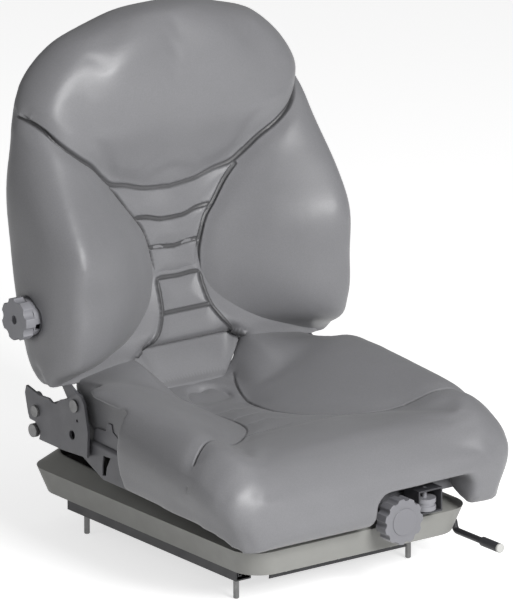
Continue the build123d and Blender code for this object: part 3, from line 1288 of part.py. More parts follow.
def lumbar_plate():
    """The pressed plate behind the foam, hinged at its foot and pushed forward by the eccentric."""
    dy, dz = LUMBAR_PLATE_TOP_Y - LUMBAR_HINGE_Y, LUMBAR_PLATE_TOP_Z - LUMBAR_HINGE_Z
    length = math.hypot(dy, dz)
    foot = 9.0
    start = (LUMBAR_HINGE_Y + dy * foot / length, LUMBAR_HINGE_Z + dz * foot / length)
    line = [start, (LUMBAR_PLATE_TOP_Y, LUMBAR_PLATE_TOP_Z)]
    plate = sheet_along(line, LUMBAR_PLATE_SHEET, LUMBAR_PLATE_HALF_WIDTH)
    for x in (-LUMBAR_HINGE_X, LUMBAR_HINGE_X):
        for x0, x1 in ((x - 7.5, x - 3), (x + 3, x + 7.5)):
            eye = spot(LUMBAR_HINGE_Y, LUMBAR_HINGE_Z, LUMBAR_HINGE_RADIUS + 2)
            eye += outline([
                (LUMBAR_HINGE_Y - 4, LUMBAR_HINGE_Z + 2), (LUMBAR_HINGE_Y + 3, LUMBAR_HINGE_Z - 2),
                (start[0] + 2, start[1] + 2), (start[0] - 2, start[1] + 3),
            ])
            eye -= spot(LUMBAR_HINGE_Y, LUMBAR_HINGE_Z, LUMBAR_HINGE_RADIUS + AXLE_FIT)
            plate += along_x(eye, x0, x1)
    rear = LUMBAR_Y - (CAM_RADIUS - CAM_OFFSET) - SLIDE_GAP
    front = rear - LUMBAR_PLATE_SHEET
    plate_y = LUMBAR_HINGE_Y + dy * (LUMBAR_Z - LUMBAR_HINGE_Z) / dz
    tab = block(CAM_X, -128, front, rear, LUMBAR_Z - 6, LUMBAR_Z + 6)
    tab += block(-130, -128, front, plate_y, LUMBAR_Z - 6, LUMBAR_Z + 6)
    tab += block(-130, -LUMBAR_PLATE_HALF_WIDTH, plate_y - 3, plate_y, LUMBAR_Z - 6, LUMBAR_Z + 6)
    return plate + tab


def build():
    """Make every sub-part and write it."""
    for side in SIDES:
        save("lower_rail_" + side, lower_rail(side))
        save("upper_rail_" + side, upper_rail(side))
        save("pivot_lug_" + side, pivot_lug(side))
        save("pivot_arm_" + side, pivot_arm(side))
        save("spring_" + side, spring(side))
        save("side_bracket_" + side, side_bracket(side))
        save("back_arm_" + side, back_arm(side))
    save("pivot_bushes", pivot_bushes())
    save("recline_pins", recline_pins())
    save("lock_bolts", lock_bolts())
    save("stop_rollers", stop_rollers())
    save("cushion_hooks", cushion_hooks())
    save("mounting_studs", group([mounting_stud(x, y) for x, y in stud_places()]))
    save("latch_rack", latch_rack())
    save("rail_glides", rail_glides())
    save("base_plate", base_plate())
    save("front_crossbar", crossbar(CROSSBAR_FACE_Y, 1))
    save("rear_crossbar", crossbar(-CROSSBAR_FACE_Y, -1))
    save("crossbar_rivets", crossbar_rivets())
    save("suspension_cover", suspension_cover())
    save("pivot_axle", pivot_axle())
    save("axle_clip", axle_clip())
    save("spring_base_seats", spring_base_seats())
    save("buffer_towers", buffer_towers())
    save("buffer_rubbers", buffer_rubbers())
    save("damper_lower_lugs", damper_lugs(DAMPER_LOWER_Y, DAMPER_LOWER_Z, BASE_TOP))
    save("lever_bracket", lever_bracket())
    save("lever_rod", lever_rod())
    save("latch_blade", latch_blade())
    save("lever_grip", lever_grip())
    save("lever_cap", lever_cap())
    save("seat_pan", seat_pan())
    save("adjuster_bearing", adjuster_bearing())
    save("spring_bar_guides", spring_bar_guides())
    save("preload_wedge", preload_wedge())
    save("spring_bar", spring_bar())
    save("weight_knob", weight_knob())
    save("adjuster_screw", adjuster_screw())
    save("indicator_housing", indicator_housing())
    save("indicator_drum", indicator_drum())
    upper_foot = pan_under(DAMPER_UPPER_Y - DAMPER_EYE_RADIUS)
    save("damper_upper_lugs", damper_lugs(DAMPER_UPPER_Y, DAMPER_UPPER_Z, upper_foot))
    save("damper_tube", damper_tube())
    save("damper_rod", damper_rod())
    save("seat_cushion", seat_cushion())
    save("back_cushion", back_cushion())
    save("back_shell", back_shell())
    save("back_pan", back_pan())
    save("lumbar_bezel", lumbar_bezel())
    save("lumbar_knob", lumbar_knob())
    save("lumbar_shaft", lumbar_shaft())
    save("lumbar_brackets", lumbar_brackets())
    save("lumbar_plate", lumbar_plate())


build()
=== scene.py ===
"""A tractor's suspension seat: moulded cushions on a sprung frame and slide rails, on a plain stage."""
import json
import math

import bmesh
import bpy
import numpy as np
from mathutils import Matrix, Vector
from mathutils.bvhtree import BVHTree
from mathutils.kdtree import KDTree

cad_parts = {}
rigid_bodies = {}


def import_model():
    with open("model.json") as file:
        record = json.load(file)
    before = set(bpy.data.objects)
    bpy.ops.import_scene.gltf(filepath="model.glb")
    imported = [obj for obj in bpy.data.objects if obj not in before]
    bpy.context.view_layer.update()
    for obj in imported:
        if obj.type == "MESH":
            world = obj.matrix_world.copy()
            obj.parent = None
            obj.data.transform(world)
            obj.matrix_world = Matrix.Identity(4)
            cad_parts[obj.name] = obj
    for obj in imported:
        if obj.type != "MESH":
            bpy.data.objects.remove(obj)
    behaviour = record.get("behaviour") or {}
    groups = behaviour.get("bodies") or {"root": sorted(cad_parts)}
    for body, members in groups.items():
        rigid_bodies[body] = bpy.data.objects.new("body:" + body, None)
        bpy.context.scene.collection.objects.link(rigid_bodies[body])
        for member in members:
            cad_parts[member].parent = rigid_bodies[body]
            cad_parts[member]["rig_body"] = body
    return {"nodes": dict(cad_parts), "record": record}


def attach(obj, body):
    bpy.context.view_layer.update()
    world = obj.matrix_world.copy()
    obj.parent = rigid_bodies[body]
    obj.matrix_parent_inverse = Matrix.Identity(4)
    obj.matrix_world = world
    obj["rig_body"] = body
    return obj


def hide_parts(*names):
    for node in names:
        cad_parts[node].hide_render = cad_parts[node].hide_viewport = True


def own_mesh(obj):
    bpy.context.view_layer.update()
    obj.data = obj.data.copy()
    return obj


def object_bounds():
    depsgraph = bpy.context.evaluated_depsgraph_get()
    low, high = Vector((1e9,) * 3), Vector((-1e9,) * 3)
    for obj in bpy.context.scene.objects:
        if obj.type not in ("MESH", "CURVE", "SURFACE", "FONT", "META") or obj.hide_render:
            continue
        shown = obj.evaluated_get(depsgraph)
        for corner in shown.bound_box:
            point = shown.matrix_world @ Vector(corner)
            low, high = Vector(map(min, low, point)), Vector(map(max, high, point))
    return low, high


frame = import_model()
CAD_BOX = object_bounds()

bl_info = {
    "name": "Suspension seat",
    "version": (1, 0, 0),
    "blender": (4, 5, 0),
    "location": "View3D > Sidebar > Seat",
    "description": "Dresses the packed seat with moulded cushions and finishes, and sets its stage",
    "category": "Object",
}

NODES = frame["nodes"]
SLOT_COLOURS = {m["slot"]: tuple(m["base_color"][:3]) for m in frame["record"]["materials"]}
MM = 0.001

# The point that the camera and the lamps look at, and each lamp's name, angles, distance and size, in metres.
MIDDLE = (0.016306, 0.0, 0.316932)
LAMPS = [("key", -2, 25, 3.2, 1.1), ("fill", -95, 25, 3.2, 2.2), ("top", 60, 70, 3.0, 2.0)]
PHOTO_LENS = 540.0
FLOOR_GAP = 0.0004
FLOOR_GLOW = 0.66
WORLD_LIGHT = 0.20

# Seams, in mm: how far one is felt, how far its pull reaches, where its lip's crest lies and how wide that is.
SEAM_REACH = 45
SMOOTH_REACH = 16
PULL_REACH = 13
LIP_OFFSET = 1.2
LIP_WIDTH = 1.6
# Rounds of smoothing over a whole cushion and over the backrest's head, and the frames that the padding swells for.
EDGE_ROUNDS = 5
HEAD_ROUNDS = 40
SWELL_FRAMES = 20
# Points this close to a slice's facets move with them, in full up to the second distance, in mm.
SKIN_REACH = 14
SKIN_FULL = 6
# A place in mm beyond every cushion, for rays that look back at them, and one in front of the backrest.
BEYOND = 500
BEFORE_BACK = -200

# Slices across the seat cushion, in mm: place from front to rear, middle height, crest height,
# channel and crest half widths, side, side height, underside.
SEAT_SLICES = [
    (112, 188, 196, 66, 165, 192, 165, 106),
    (92, 172, 206, 52, 182, 214, 178, 106),
    (62, 160, 219, 38, 206, 236, 185, 106),
    (10, 162, 222, 42, 208, 238, 184, 107),
    (-45, 167, 218, 62, 208, 238, 180, 104),
    (-100, 173, 214, 96, 206, 238, 176, 101),
    (-150, 179, 211, 130, 204, 238, 172, 99),
    (-200, 182, 206, 140, 200, 237, 166, 97),
    (-240, 182, 197, 140, 194, 233, 156, 90),
    (-268, 172, 182, 130, 182, 224, 144, 78),
    (-288, 152, 158, 120, 168, 208, 128, 72),
    (-299, 128, 131, 105, 150, 184, 112, 82),
    (-304, 110, 111, 80, 115, 145, 104, 94),
]
# Slices across the backrest, in mm: height, middle, bolster front, channel and crest half widths,
# side, corner, rear.
BACK_SLICES = [
    (207, 113, 111, 62, 186, 222, 210, 166),
    (222, 112, 98, 62, 194, 230, 218, 172),
    (238, 114, 80, 60, 212, 241, 231, 182),
    (262, 125, 71, 48, 220, 247, 239, 191),
    (330, 157, 68, 40, 222, 251, 244, 206),
    (400, 168, 70, 56, 222, 252, 245, 217),
    (445, 173, 96, 88, 220, 250, 245, 225),
    (490, 170, 128, 112, 216, 243, 243, 231),
    (550, 154, 158, 118, 205, 229, 235, 236),
    (600, 151, 168, 108, 186, 210, 217, 240),
    (645, 157, 175, 90, 148, 178, 184, 240),
    (678, 173, 184, 60, 98, 130, 132, 232),
    (692, 190, 198, 30, 50, 72, 72, 220),
]

# Seams, in mm, each point with the share of the full depth that it has there.
CHANNEL_EDGE = [
    (103, 176, 457, 0.7), (82, 175, 432, 1), (66, 173, 411, 1), (51, 170, 390, 1), (42, 166, 366, 1),
    (37, 163, 342, 1), (36, 161, 317, 1), (37, 160, 294, 1), (42, 159, 272, 1), (50, 154, 259, 1),
    (62, 151, 245, 1), (81, 150, 232, 1), (93, 151, 227, 1),
]
HEAD_SEAM = [
    (0, 176, 440, 0.8), (46, 176, 444, 0.8), (73, 175, 452, 0.8), (99, 170, 460, 0.9), (114, 165, 472, 1),
    (138, 155, 494, 1.2), (163, 147, 512, 1.5), (188, 147, 531, 1.7), (206, 158, 546, 1.9), (220, 174, 558, 1.6),
    (230, 192, 568, 0.8), (235, 206, 574, 0),
]
CROSS_GROOVES = [
    [(0, 172, 397, 1), (22, 172, 398, 1), (40, 171, 403, 1), (59, 172, 407, 1)],
    [(0, 167, 357, 1), (40, 166, 361, 1)],
    [(0, 161, 316, 1), (36, 161, 317, 1)],
    [(0, 159, 272, 1), (42, 159, 272, 1)],
]
TONGUE_TOP = [(0, 150, 232, 0.6), (60, 150, 232, 0.6), (83, 150, 231, 0.6)]
TONGUE_TIP = [(0, 120, 178, 1), (52, 120, 178, 1)]
SEAT_SEAM = [
    (60, 114, 178, 0.6), (52, 98, 172, 1), (40, 68, 165, 1), (34, 25, 161, 1), (36, -15, 162, 1),
    (49, -62, 166, 1), (88, -112, 172, 1), (118, -138, 179, 1), (150, -158, 190, 1), (177, -174, 202, 1.1),
    (200, -186, 206, 1.3), (220, -193, 197, 1.5), (232, -198, 180, 1.3), (238, -202, 160, 0.7),
    (238, -204, 146, 0),
]
SEAT_LINES = [
    [(0, 26, 160, 1), (30, 27, 161, 1)],
    [(0, -14, 161, 1), (33, -15, 162, 1)],
    [(0, -52, 163, 1), (44, -56, 165, 1)],
    [(0, -104, 169, 1), (82, -110, 171, 1)],
]

# The backrest's foot, in mm: height, then the channel's depth and half width there.
FOOT_CHANNEL = [
    (168, 119, 58), (184, 122, 62), (193, 133, 68), (204, 140, 78), (224, 150, 95), (232, 150, 81),
    (245, 151, 62), (259, 154, 50), (272, 158, 42), (300, 160, 37), (330, 162, 37), (362, 165, 42),
]
# The slices' channel and side by height, the side as the foot has it, and the channel's new height by the old.
SLICE_CHANNEL = [(207, 62), (222, 62), (238, 60), (262, 48), (330, 40), (400, 56)]
SLICE_SIDE = [(207, 222), (222, 230), (238, 241), (262, 247)]
FOOT_SIDE = [(203, 234), (212, 241), (225, 245), (262, 247)]
FOOT_HEIGHT = [(207, 169), (222, 199), (240, 230), (262, 258), (300, 300), (400, 400)]
# Where the seat's rear meets the bolsters' feet: distance from the middle, place and height.
FOOT_LINE = [
    (58, 165, 174), (62, 122, 179), (68, 133, 193), (78, 140, 204), (96, 152, 225), (134, 147, 220),
    (185, 141, 211), (229, 130, 205), (246, 128, 203),
]
# The foot's heights in mm: the lowest slice, the end of the bolsters' stretch, and the start and end of the fade.
SLICE_FOOT = 207
BOLSTER_STRETCH = 290
FADE_LOW = 310
FADE_TOP = 400
# The foot's bolsters: inner and outer edge, how far they hang under FOOT_LINE, and their roll's height and width.
BOLSTER_INNER = 96
BOLSTER_OUTER = 246
BOLSTER_DROP = 5
ROLL_HEIGHT = 62
ROLL_WIDTH = 150
# The tongue under the channel: how much it narrows above, its thickness, and how far its rear spreads.
TONGUE_NARROW = 2.5
TONGUE_THICKNESS = 44
TONGUE_FLARE = 28

# The backrest's shoulders: height, spread and widening. Its crown: the middle's rise and the sides' fall.
SHOULDER_HEIGHT = 600
SHOULDER_SPREAD = 48
SHOULDER_SHARE = 0.045
CROWN_RISE = 3
CROWN_FALL = 10

# The seat's drain dish: half width, half length, place and extra depth.
DISH_SIZE = (34, 17)
DISH_PLACE = 78
DISH_DEPTH = 5
# The seat's widening by place, as a share.
SEAT_WIDENING = [
    (-304, 0.14), (-288, 0.12), (-268, 0.085), (-240, 0.06), (-200, 0.045), (-100, 0.04), (0, 0.02), (60, 0),
]
# The seat's raised rear: where the rise starts, its length, the underside, and the last places of its top and end.
RISE_START = 50
RISE_LENGTH = 62
SEAT_UNDERSIDE = 106
SEAT_LAST_TOP = 111
SEAT_REAR = 114


# Settings

class SeatCushionSettings(bpy.types.PropertyGroup):
    """Sizes of the cushions' padding and seams."""
    grid: bpy.props.FloatProperty(
        name="Grid", description="Distance between points on a cushion", default=0.005, subtype="DISTANCE")
    groove_depth: bpy.props.FloatProperty(
        name="Groove depth", description="Depth of the moulded grooves", default=0.0050, subtype="DISTANCE")
    groove_width: bpy.props.FloatProperty(
        name="Groove width", description="Width of a groove's flat floor", default=0.0044, subtype="DISTANCE")
    pull: bpy.props.FloatProperty(
        name="Pull", description="How far the cover is drawn in along a seam", default=0.0030, subtype="DISTANCE")
    swell: bpy.props.FloatProperty(
        name="Swell", description="Furthest that the padding may swell", default=0.006, subtype="DISTANCE")
    pressure: bpy.props.FloatProperty(
        name="Pressure", description="Pressure of the padding under its cover", default=4.0)


def colour_property(name, slot):
    """A colour setting whose default is the record's colour for a material slot."""
    return bpy.props.FloatVectorProperty(
        name=name, description=name + " colour", default=SLOT_COLOURS[slot], min=0, max=1, subtype="COLOR")


class SeatFinishSettings(bpy.types.PropertyGroup):
    """Colours of the finishes and the rounding of rigid edges."""
    vinyl: colour_property("Vinyl", "vinyl")
    cover_plastic: colour_property("Cover plastic", "cover_plastic")
    dark_plastic: colour_property("Dark plastic", "dark_plastic")
    knob_plastic: colour_property("Knob plastic", "knob_plastic")
    cap_plastic: colour_property("Cap plastic", "cap_plastic")
    frame_paint: colour_property("Frame paint", "frame_paint")
    black_paint: colour_property("Black paint", "black_paint")
    zinc_steel: colour_property("Zinc plate", "zinc_steel")
    spring_steel: colour_property("Spring steel", "spring_steel")
    rubber: colour_property("Rubber", "rubber")
    edge: bpy.props.FloatProperty(
        name="Edge", description="Rounding of plastic edges", default=0.0009, subtype="DISTANCE")
    sheet_edge: bpy.props.FloatProperty(
        name="Sheet edge", description="Rounding of sheet-metal edges", default=0.0004, subtype="DISTANCE")


class SeatStageSettings(bpy.types.PropertyGroup):
    """The floor, the lamps and the camera."""
    lens: bpy.props.FloatProperty(
        name="Lens", description="Camera lens in millimetres", default=PHOTO_LENS)
    distance: bpy.props.FloatProperty(
        name="Distance", description="Camera distance", default=12.194649, subtype="DISTANCE")
    azimuth: bpy.props.FloatProperty(
        name="Azimuth", description="Camera angle round the seat", default=math.radians(-36.46), subtype="ANGLE")
    elevation: bpy.props.FloatProperty(
        name="Elevation", description="Camera angle above the floor", default=math.radians(16.715),
        subtype="ANGLE")
    key_power: bpy.props.FloatProperty(name="Key", description="Power of the front lamp", default=104.0)
    fill_power: bpy.props.FloatProperty(name="Fill", description="Power of the side lamp", default=9.0)
    top_power: bpy.props.FloatProperty(name="Top", description="Power of the top lamp", default=12.0)
    floor: bpy.props.FloatVectorProperty(
        name="Floor", description="Floor colour", default=(0.8, 0.8, 0.8), min=0, max=1, subtype="COLOR")


# Shapes

def between(keys, knots, share):
    """The point at a share of the way from the second to the third of four keys."""
    t = knots[1] + (knots[2] - knots[1]) * share
    for level in ([(0, 1), (1, 2), (2, 3)], [(0, 2), (1, 3)], [(1, 2)]):
        mixed = []
        for index, (low, high) in enumerate(level):
            weight = (t - knots[low]) / (knots[high] - knots[low])
            mixed.append(tuple(a * (1 - weight) + b * weight for a, b in zip(keys[index], keys[index + 1])))
        keys = mixed
    return keys[0]


def smooth_half(keys, steps):
    """Points on a smooth curve through keys, level at the first and square to that at the last."""
    keys = [(-keys[1][0], keys[1][1])] + keys + [(keys[-2][0], 2 * keys[-1][1] - keys[-2][1])]
    knots = [0]
    for a, b in zip(keys, keys[1:]):
        knots.append(knots[-1] + math.dist(a, b) ** 0.5)
    points = []
    for i in range(1, len(keys) - 2):
        for step in range(steps):
            points.append(between(keys[i - 1:i + 3], knots[i - 1:i + 3], step / steps))
    return points + [keys[-2]]


def both_halves(half):
    """A full profile from its right-hand half."""
    return [(-u, v) for u, v in reversed(half[1:])] + half


def seat_slice(y, centre, crest, channel, crest_x, side, side_z, underside):
    """The outline of one slice across the seat cushion."""
    flank = ((channel + crest_x) / 2, centre * 0.28 + crest * 0.72)
    half = smooth_half([(0, centre), (channel, centre + 1), flank, (crest_x, crest), (side, side_z)], 2)
    return [(x, y, z) for x, z in both_halves(half + [(side - 4, underside)])]


def back_slice(z, centre, front, channel, crest_x, side, corner, rear):
    """The outline of one slice across the backrest."""
    flank = ((channel + crest_x) * 0.48, centre * 0.38 + front * 0.62)
    half = smooth_half([(0, centre), (channel, centre - 1), flank, (crest_x, front), (side, (front + rear) / 2)], 2)
    bevel = min(12, (rear - front) / 4)
    half += [((side + corner) / 2, rear - bevel), (corner - bevel, rear), (0, rear + 7)]
    return [(x, y, z) for x, y in both_halves(half)]


def spread(rows, places, steps, curved):
    """More rows between the given ones, on straight runs or on a smooth curve through them."""
    rows = np.asarray(rows, float)
    places = np.asarray(places, float)
    gaps = np.diff(places)
    slopes = np.diff(rows, axis=0) / gaps.reshape(-1, *[1] * (rows.ndim - 1))
    tangents = np.empty_like(rows)
    tangents[0], tangents[-1] = slopes[0], slopes[-1]
    for i in range(1, len(rows) - 1):
        tangents[i] = (slopes[i - 1] * gaps[i] + slopes[i] * gaps[i - 1]) / (gaps[i] + gaps[i - 1])
    out = []
    for i, gap in enumerate(gaps):
        for step in range(steps):
            t = step / steps
            point = rows[i] * (1 - t) + rows[i + 1] * t
            if curved:
                first, last = tangents[i] - slopes[i], tangents[i + 1] - slopes[i]
                point = point + t * (1 - t) * gap * ((1 - t) * first - t * last)
            out.append(point)
    return np.array(out + [rows[-1]])


def skin_grid(slices, places, steps, curved):
    """A grid of points over a cushion's outer skin."""
    grid = spread(slices, places, steps, curved)
    grid = np.swapaxes(grid, 0, 1)
    runs = np.linalg.norm(np.diff(grid, axis=0), axis=2).mean(axis=1)
    return spread(grid, np.concatenate([[0], np.cumsum(np.maximum(runs, 1))]), 4, curved)


def grid_tree(grid):
    """A search tree of a grid's faces."""
    n, m = grid.shape[:2]
    index = np.arange(n * m).reshape(n, m)
    quads = np.stack([index[:-1, :-1], index[1:, :-1], index[1:, 1:], index[:-1, 1:]], axis=-1).reshape(-1, 4)
    return BVHTree.FromPolygons(grid.reshape(-1, 3).tolist(), quads.tolist())


def read_points(mesh):
    """A mesh's points as an array, in mm."""
    co = np.empty(len(mesh.vertices) * 3, np.float64)
    mesh.vertices.foreach_get("co", co)
    return co.reshape(-1, 3) / MM


def write_points(mesh, points):
    """Puts an array of points, in mm, back into a mesh."""
    mesh.vertices.foreach_set("co", (points * MM).ravel())
    mesh.update()


def read_normals(mesh):
    """A mesh's point normals as an array."""
    normals = np.empty(len(mesh.vertices) * 3, np.float64)
    mesh.vertices.foreach_get("normal", normals)
    return normals.reshape(-1, 3)


def relax(mesh, points, rounds, share):
    """Draws each point towards its neighbours' middle; share is one number or one for each point."""
    ends = np.empty(len(mesh.edges) * 2, np.int64)
    mesh.edges.foreach_get("vertices", ends)
    a, b = ends.reshape(-1, 2).T
    count = np.bincount(np.concatenate([a, b]), minlength=len(points)).clip(1)
    share = np.broadcast_to(np.asarray(share, float), len(points))[:, None]
    for _ in range(rounds):
        total = np.stack([
            np.bincount(a, points[b, k], len(points)) + np.bincount(b, points[a, k], len(points)) for k in range(3)
        ], axis=1)
        points = points + (total / count[:, None] - points) * share
    return points


def evaluated_copy(obj):
    """A mesh with an object's modifiers applied."""
    return bpy.data.meshes.new_from_object(obj.evaluated_get(bpy.context.evaluated_depsgraph_get()))


def remeshed_copy(node, name, grid):
    """A new object with an even grid of faces over a CAD cushion."""
    obj = bpy.data.objects.new(name, NODES[node].data.copy())
    bpy.context.scene.collection.objects.link(obj)
    weld = obj.modifiers.new("Weld", "WELD")
    weld.merge_threshold = 0.00002
    remesh = obj.modifiers.new("Remesh", "REMESH")
    remesh.mode = "VOXEL"
    remesh.voxel_size = grid
    old = obj.data
    obj.data = evaluated_copy(obj)
    bpy.data.meshes.remove(old)
    obj.modifiers.clear()
    obj.data.materials.clear()
    return obj


def fair_skin(points, slices, places):
    """Moves a cushion's outer points from the flat facets of its slices to a smooth skin through them."""
    flat = skin_grid(slices, places, 8, False).reshape(-1, 3)
    smooth = skin_grid(slices, places, 8, True)
    moves = smooth.reshape(-1, 3) - flat
    near = KDTree(len(flat))
    for i, point in enumerate(flat):
        near.insert(point, i)
    near.balance()
    tree = grid_tree(smooth)
    out = points.copy()
    for i, point in enumerate(points):
        found = near.find_n(point, 3)
        closest = found[0][2]
        if closest > SKIN_REACH:
            continue
        weights = [1 / (0.5 + d) for _, _, d in found]
        move = sum(moves[j] * w for (_, j, _), w in zip(found, weights)) / sum(weights)
        fade = 1 if closest < SKIN_FULL else (SKIN_REACH - closest) / (SKIN_REACH - SKIN_FULL)
        moved = point + move * fade
        hit = tree.find_nearest(Vector(moved), 3.0)
        if hit[0] is not None and fade == 1:
            moved = np.array(hit[0])
        out[i] = moved
    return out


def rows_at(rows, value, column):
    """A table's column at a value of its first column."""
    return float(np.interp(value, [row[0] for row in rows], [row[column] for row in rows]))


def ease(low, high, value):
    """A smooth step from 0 at low to 1 at high."""
    t = np.clip((value - low) / (high - low), 0, 1)
    return t * t * (3 - 2 * t)


def set_foot(points, skin):
    """Rolls the bolsters' feet under, sets the channel back and draws its tongue down between them."""
    out = points.copy()
    for i, (x, y, z) in enumerate(points):
        front = skin.ray_cast(Vector((x, BEFORE_BACK, z)), Vector((0, 1, 0)))[0]
        rear = skin.ray_cast(Vector((x, BEYOND, z)), Vector((0, -1, 0)))[0]
        if z > FADE_TOP or front is None or rear is None or rear.y - front.y < 2:
            continue
        side, half, centre = abs(x), rows_at(SLICE_CHANNEL, z, 1), rows_at(BACK_SLICES, z, 1)
        fade = ease(FADE_TOP, FADE_LOW, z)
        if side < half + 1:
            new_z = rows_at(FOOT_HEIGHT, z, 1)
            new_half = rows_at(FOOT_CHANNEL, new_z, 2) - TONGUE_NARROW * ease(240, 225, new_z)
            new_side = side * (1 + fade * (new_half / half - 1))
            new_front = front.y + fade * (rows_at(FOOT_CHANNEL, new_z, 1) - centre)
            new_rear = rear.y + (new_front + TONGUE_THICKNESS - rear.y) * ease(232, 215, new_z)
        else:
            edge = BOLSTER_INNER + (side - half) * (BOLSTER_OUTER - BOLSTER_INNER) / (BOLSTER_OUTER - half)
            foot = rows_at(FOOT_LINE, edge, 2) - BOLSTER_DROP
            stretch = [(SLICE_FOOT, foot), (BOLSTER_STRETCH, BOLSTER_STRETCH), (FADE_TOP, FADE_TOP)]
            new_z = rows_at(stretch, z, 1)
            inner = half + fade * (rows_at(FOOT_CHANNEL, new_z, 2) - half)
            outer, new_outer = rows_at(SLICE_SIDE, z, 1), rows_at(FOOT_SIDE, new_z, 1)
            new_side = inner + (side - half) * (new_outer - inner) / (outer - half)
            back = max(rows_at(FOOT_LINE, edge, 1), front.y)
            depth = rows_at(FOOT_CHANNEL, new_z, 1) - centre
            sunk = front.y + fade * depth * ease(ROLL_WIDTH, 0, side - half)
            roll = 1 - (1 - min(max((new_z - foot) / ROLL_HEIGHT, 0), 1)) ** 3
            new_front = back + (sunk - back) * roll
            new_rear = rear.y
        share = (y - front.y) / (rear.y - front.y)
        if side < half + 1:
            new_side += TONGUE_FLARE * ease(0.2, 0.6, share) * ease(228, 210, new_z) * min(side / half, 1)
        out[i] = (math.copysign(new_side, x), new_front + share * (new_rear - new_front), new_z)
    return out


def shape_back(points, skin):
    """The backrest's foot, fuller shoulders and a rounder crown."""
    points = set_foot(points, skin)
    side, height = np.abs(points[:, 0]), points[:, 2]
    points[:, 0] *= 1 + SHOULDER_SHARE * np.exp(-((height - SHOULDER_HEIGHT) / SHOULDER_SPREAD) ** 2)
    points[:, 2] += ease(640, 690, height) * (CROWN_RISE - CROWN_FALL * ease(20, 130, side))
    return points


def raise_rear(points, skin):
    """Draws the seat's rear up and back to the backrest's feet, and sets its channel down under the tongue."""
    out = points.copy()
    down = Vector((0, 0, -1))
    for i, (x, y, z) in enumerate(points):
        top = skin.ray_cast(Vector((x, min(y, SEAT_LAST_TOP), BEYOND)), down)[0]
        base = skin.ray_cast(Vector((x, RISE_START, BEYOND)), down)[0]
        if y < RISE_START or top is None or base is None:
            continue
        along = (y - RISE_START) / RISE_LENGTH
        height = np.clip((z - SEAT_UNDERSIDE) / (top.z - SEAT_UNDERSIDE), 0, 1)
        new_top = base.z + (rows_at(FOOT_LINE, abs(x), 2) - base.z) * ease(0, 1, along) ** 0.8
        back = (rows_at(FOOT_LINE, abs(x), 1) - SEAT_REAR) * ease(0.35, 0.95, height) * along ** 3
        raised = z if z < SEAT_UNDERSIDE else SEAT_UNDERSIDE + height * (new_top - SEAT_UNDERSIDE)
        out[i] = (x, y + back, raised)
    return out


def shape_seat(points, skin):
    """The seat's drain dish, raised rear and squarer front corners."""
    off = np.hypot(points[:, 0] / DISH_SIZE[0], (points[:, 1] - DISH_PLACE) / DISH_SIZE[1])
    points[:, 2] -= DISH_DEPTH * ease(1.05, 0.7, off) * ease(130, 140, points[:, 2])
    points = raise_rear(points, skin)
    wider = np.interp(points[:, 1], *zip(*SEAT_WIDENING))
    points[:, 0] *= 1 + wider * ease(80, 165, points[:, 2])
    return points


class Seam:
    """A line on a cushion's skin, with the form of the groove along it."""

    def __init__(self, line, depth, floor, ramp, lip=0.0, lip_way=(1, 0, 0), pull=1.0, dark=1.0):
        """Takes the groove's depth, its floor's half width and its ramp's width in mm, and its lip's height."""
        self.line = line
        self.depth, self.floor, self.ramp = depth, floor, ramp
        self.lip, self.lip_way = lip, lip_way
        # dark is how strong the painted shade in the groove is.
        self.pull, self.dark = pull, dark
        self.points, self.shares, self.tree = [], [], None

    def lay(self, skin, front):
        """Lays the line and its mirror on the skin as seen from the front, and keeps its points in a tree."""
        front = Vector(front)
        line = np.array(self.line, float)
        runs = np.linalg.norm(np.diff(line[:, :3], axis=0), axis=1)
        fine = spread(line, np.concatenate([[0], np.cumsum(runs)]), 16, True)
        for side in (1, -1):
            for x, y, z, share in fine:
                point = Vector((side * x, y, z))
                hit = skin.ray_cast(point + front * 120, -front)
                if hit[0] is None or (hit[0] - point).length > 30:
                    hit = skin.find_nearest(point)
                self.points.append(hit[0])
                self.shares.append(max(share, 0))
        self.tree = KDTree(len(self.points))
        for i, point in enumerate(self.points):
            self.tree.insert(point, i)
        self.tree.balance()

    def measure(self, points, reach):
        """Distance, share of depth and side of the line for each point, with far points left at reach."""
        distance = np.full(len(points), float(reach))
        share = np.zeros(len(points))
        side = np.zeros(len(points))
        for i, point in enumerate(points):
            found = self.tree.find(point)
            if found[2] < reach:
                distance[i] = found[2]
                share[i] = self.shares[found[1]]
                away = Vector(point) - found[0]
                outward = 1 if found[0].x >= 0 else -1
                side[i] = away.x * outward * self.lip_way[0] + away.y * self.lip_way[1] + away.z * self.lip_way[2]
        return distance, share, side


def distance_to_seams(points, seams, reach):
    """Each point's distance to the closest seam, with far points left at reach."""
    near = np.full(len(points), float(reach))
    for seam in seams:
        near = np.minimum(near, seam.measure(points, reach)[0])
    return near


def refine(obj, seams, bands):
    """Divides the faces near the seams, once for each band's reach."""
    for reach in bands:
        close = distance_to_seams(read_points(obj.data), seams, reach + 1) < reach
        bm = bmesh.new()
        bm.from_mesh(obj.data)
        bm.verts.ensure_lookup_table()
        chosen = [e for e in bm.edges if close[e.verts[0].index] and close[e.verts[1].index]]
        bmesh.ops.subdivide_edges(bm, edges=chosen, cuts=1, use_grid_fill=True)
        bm.to_mesh(obj.data)
        bm.free()
        obj.data.update()


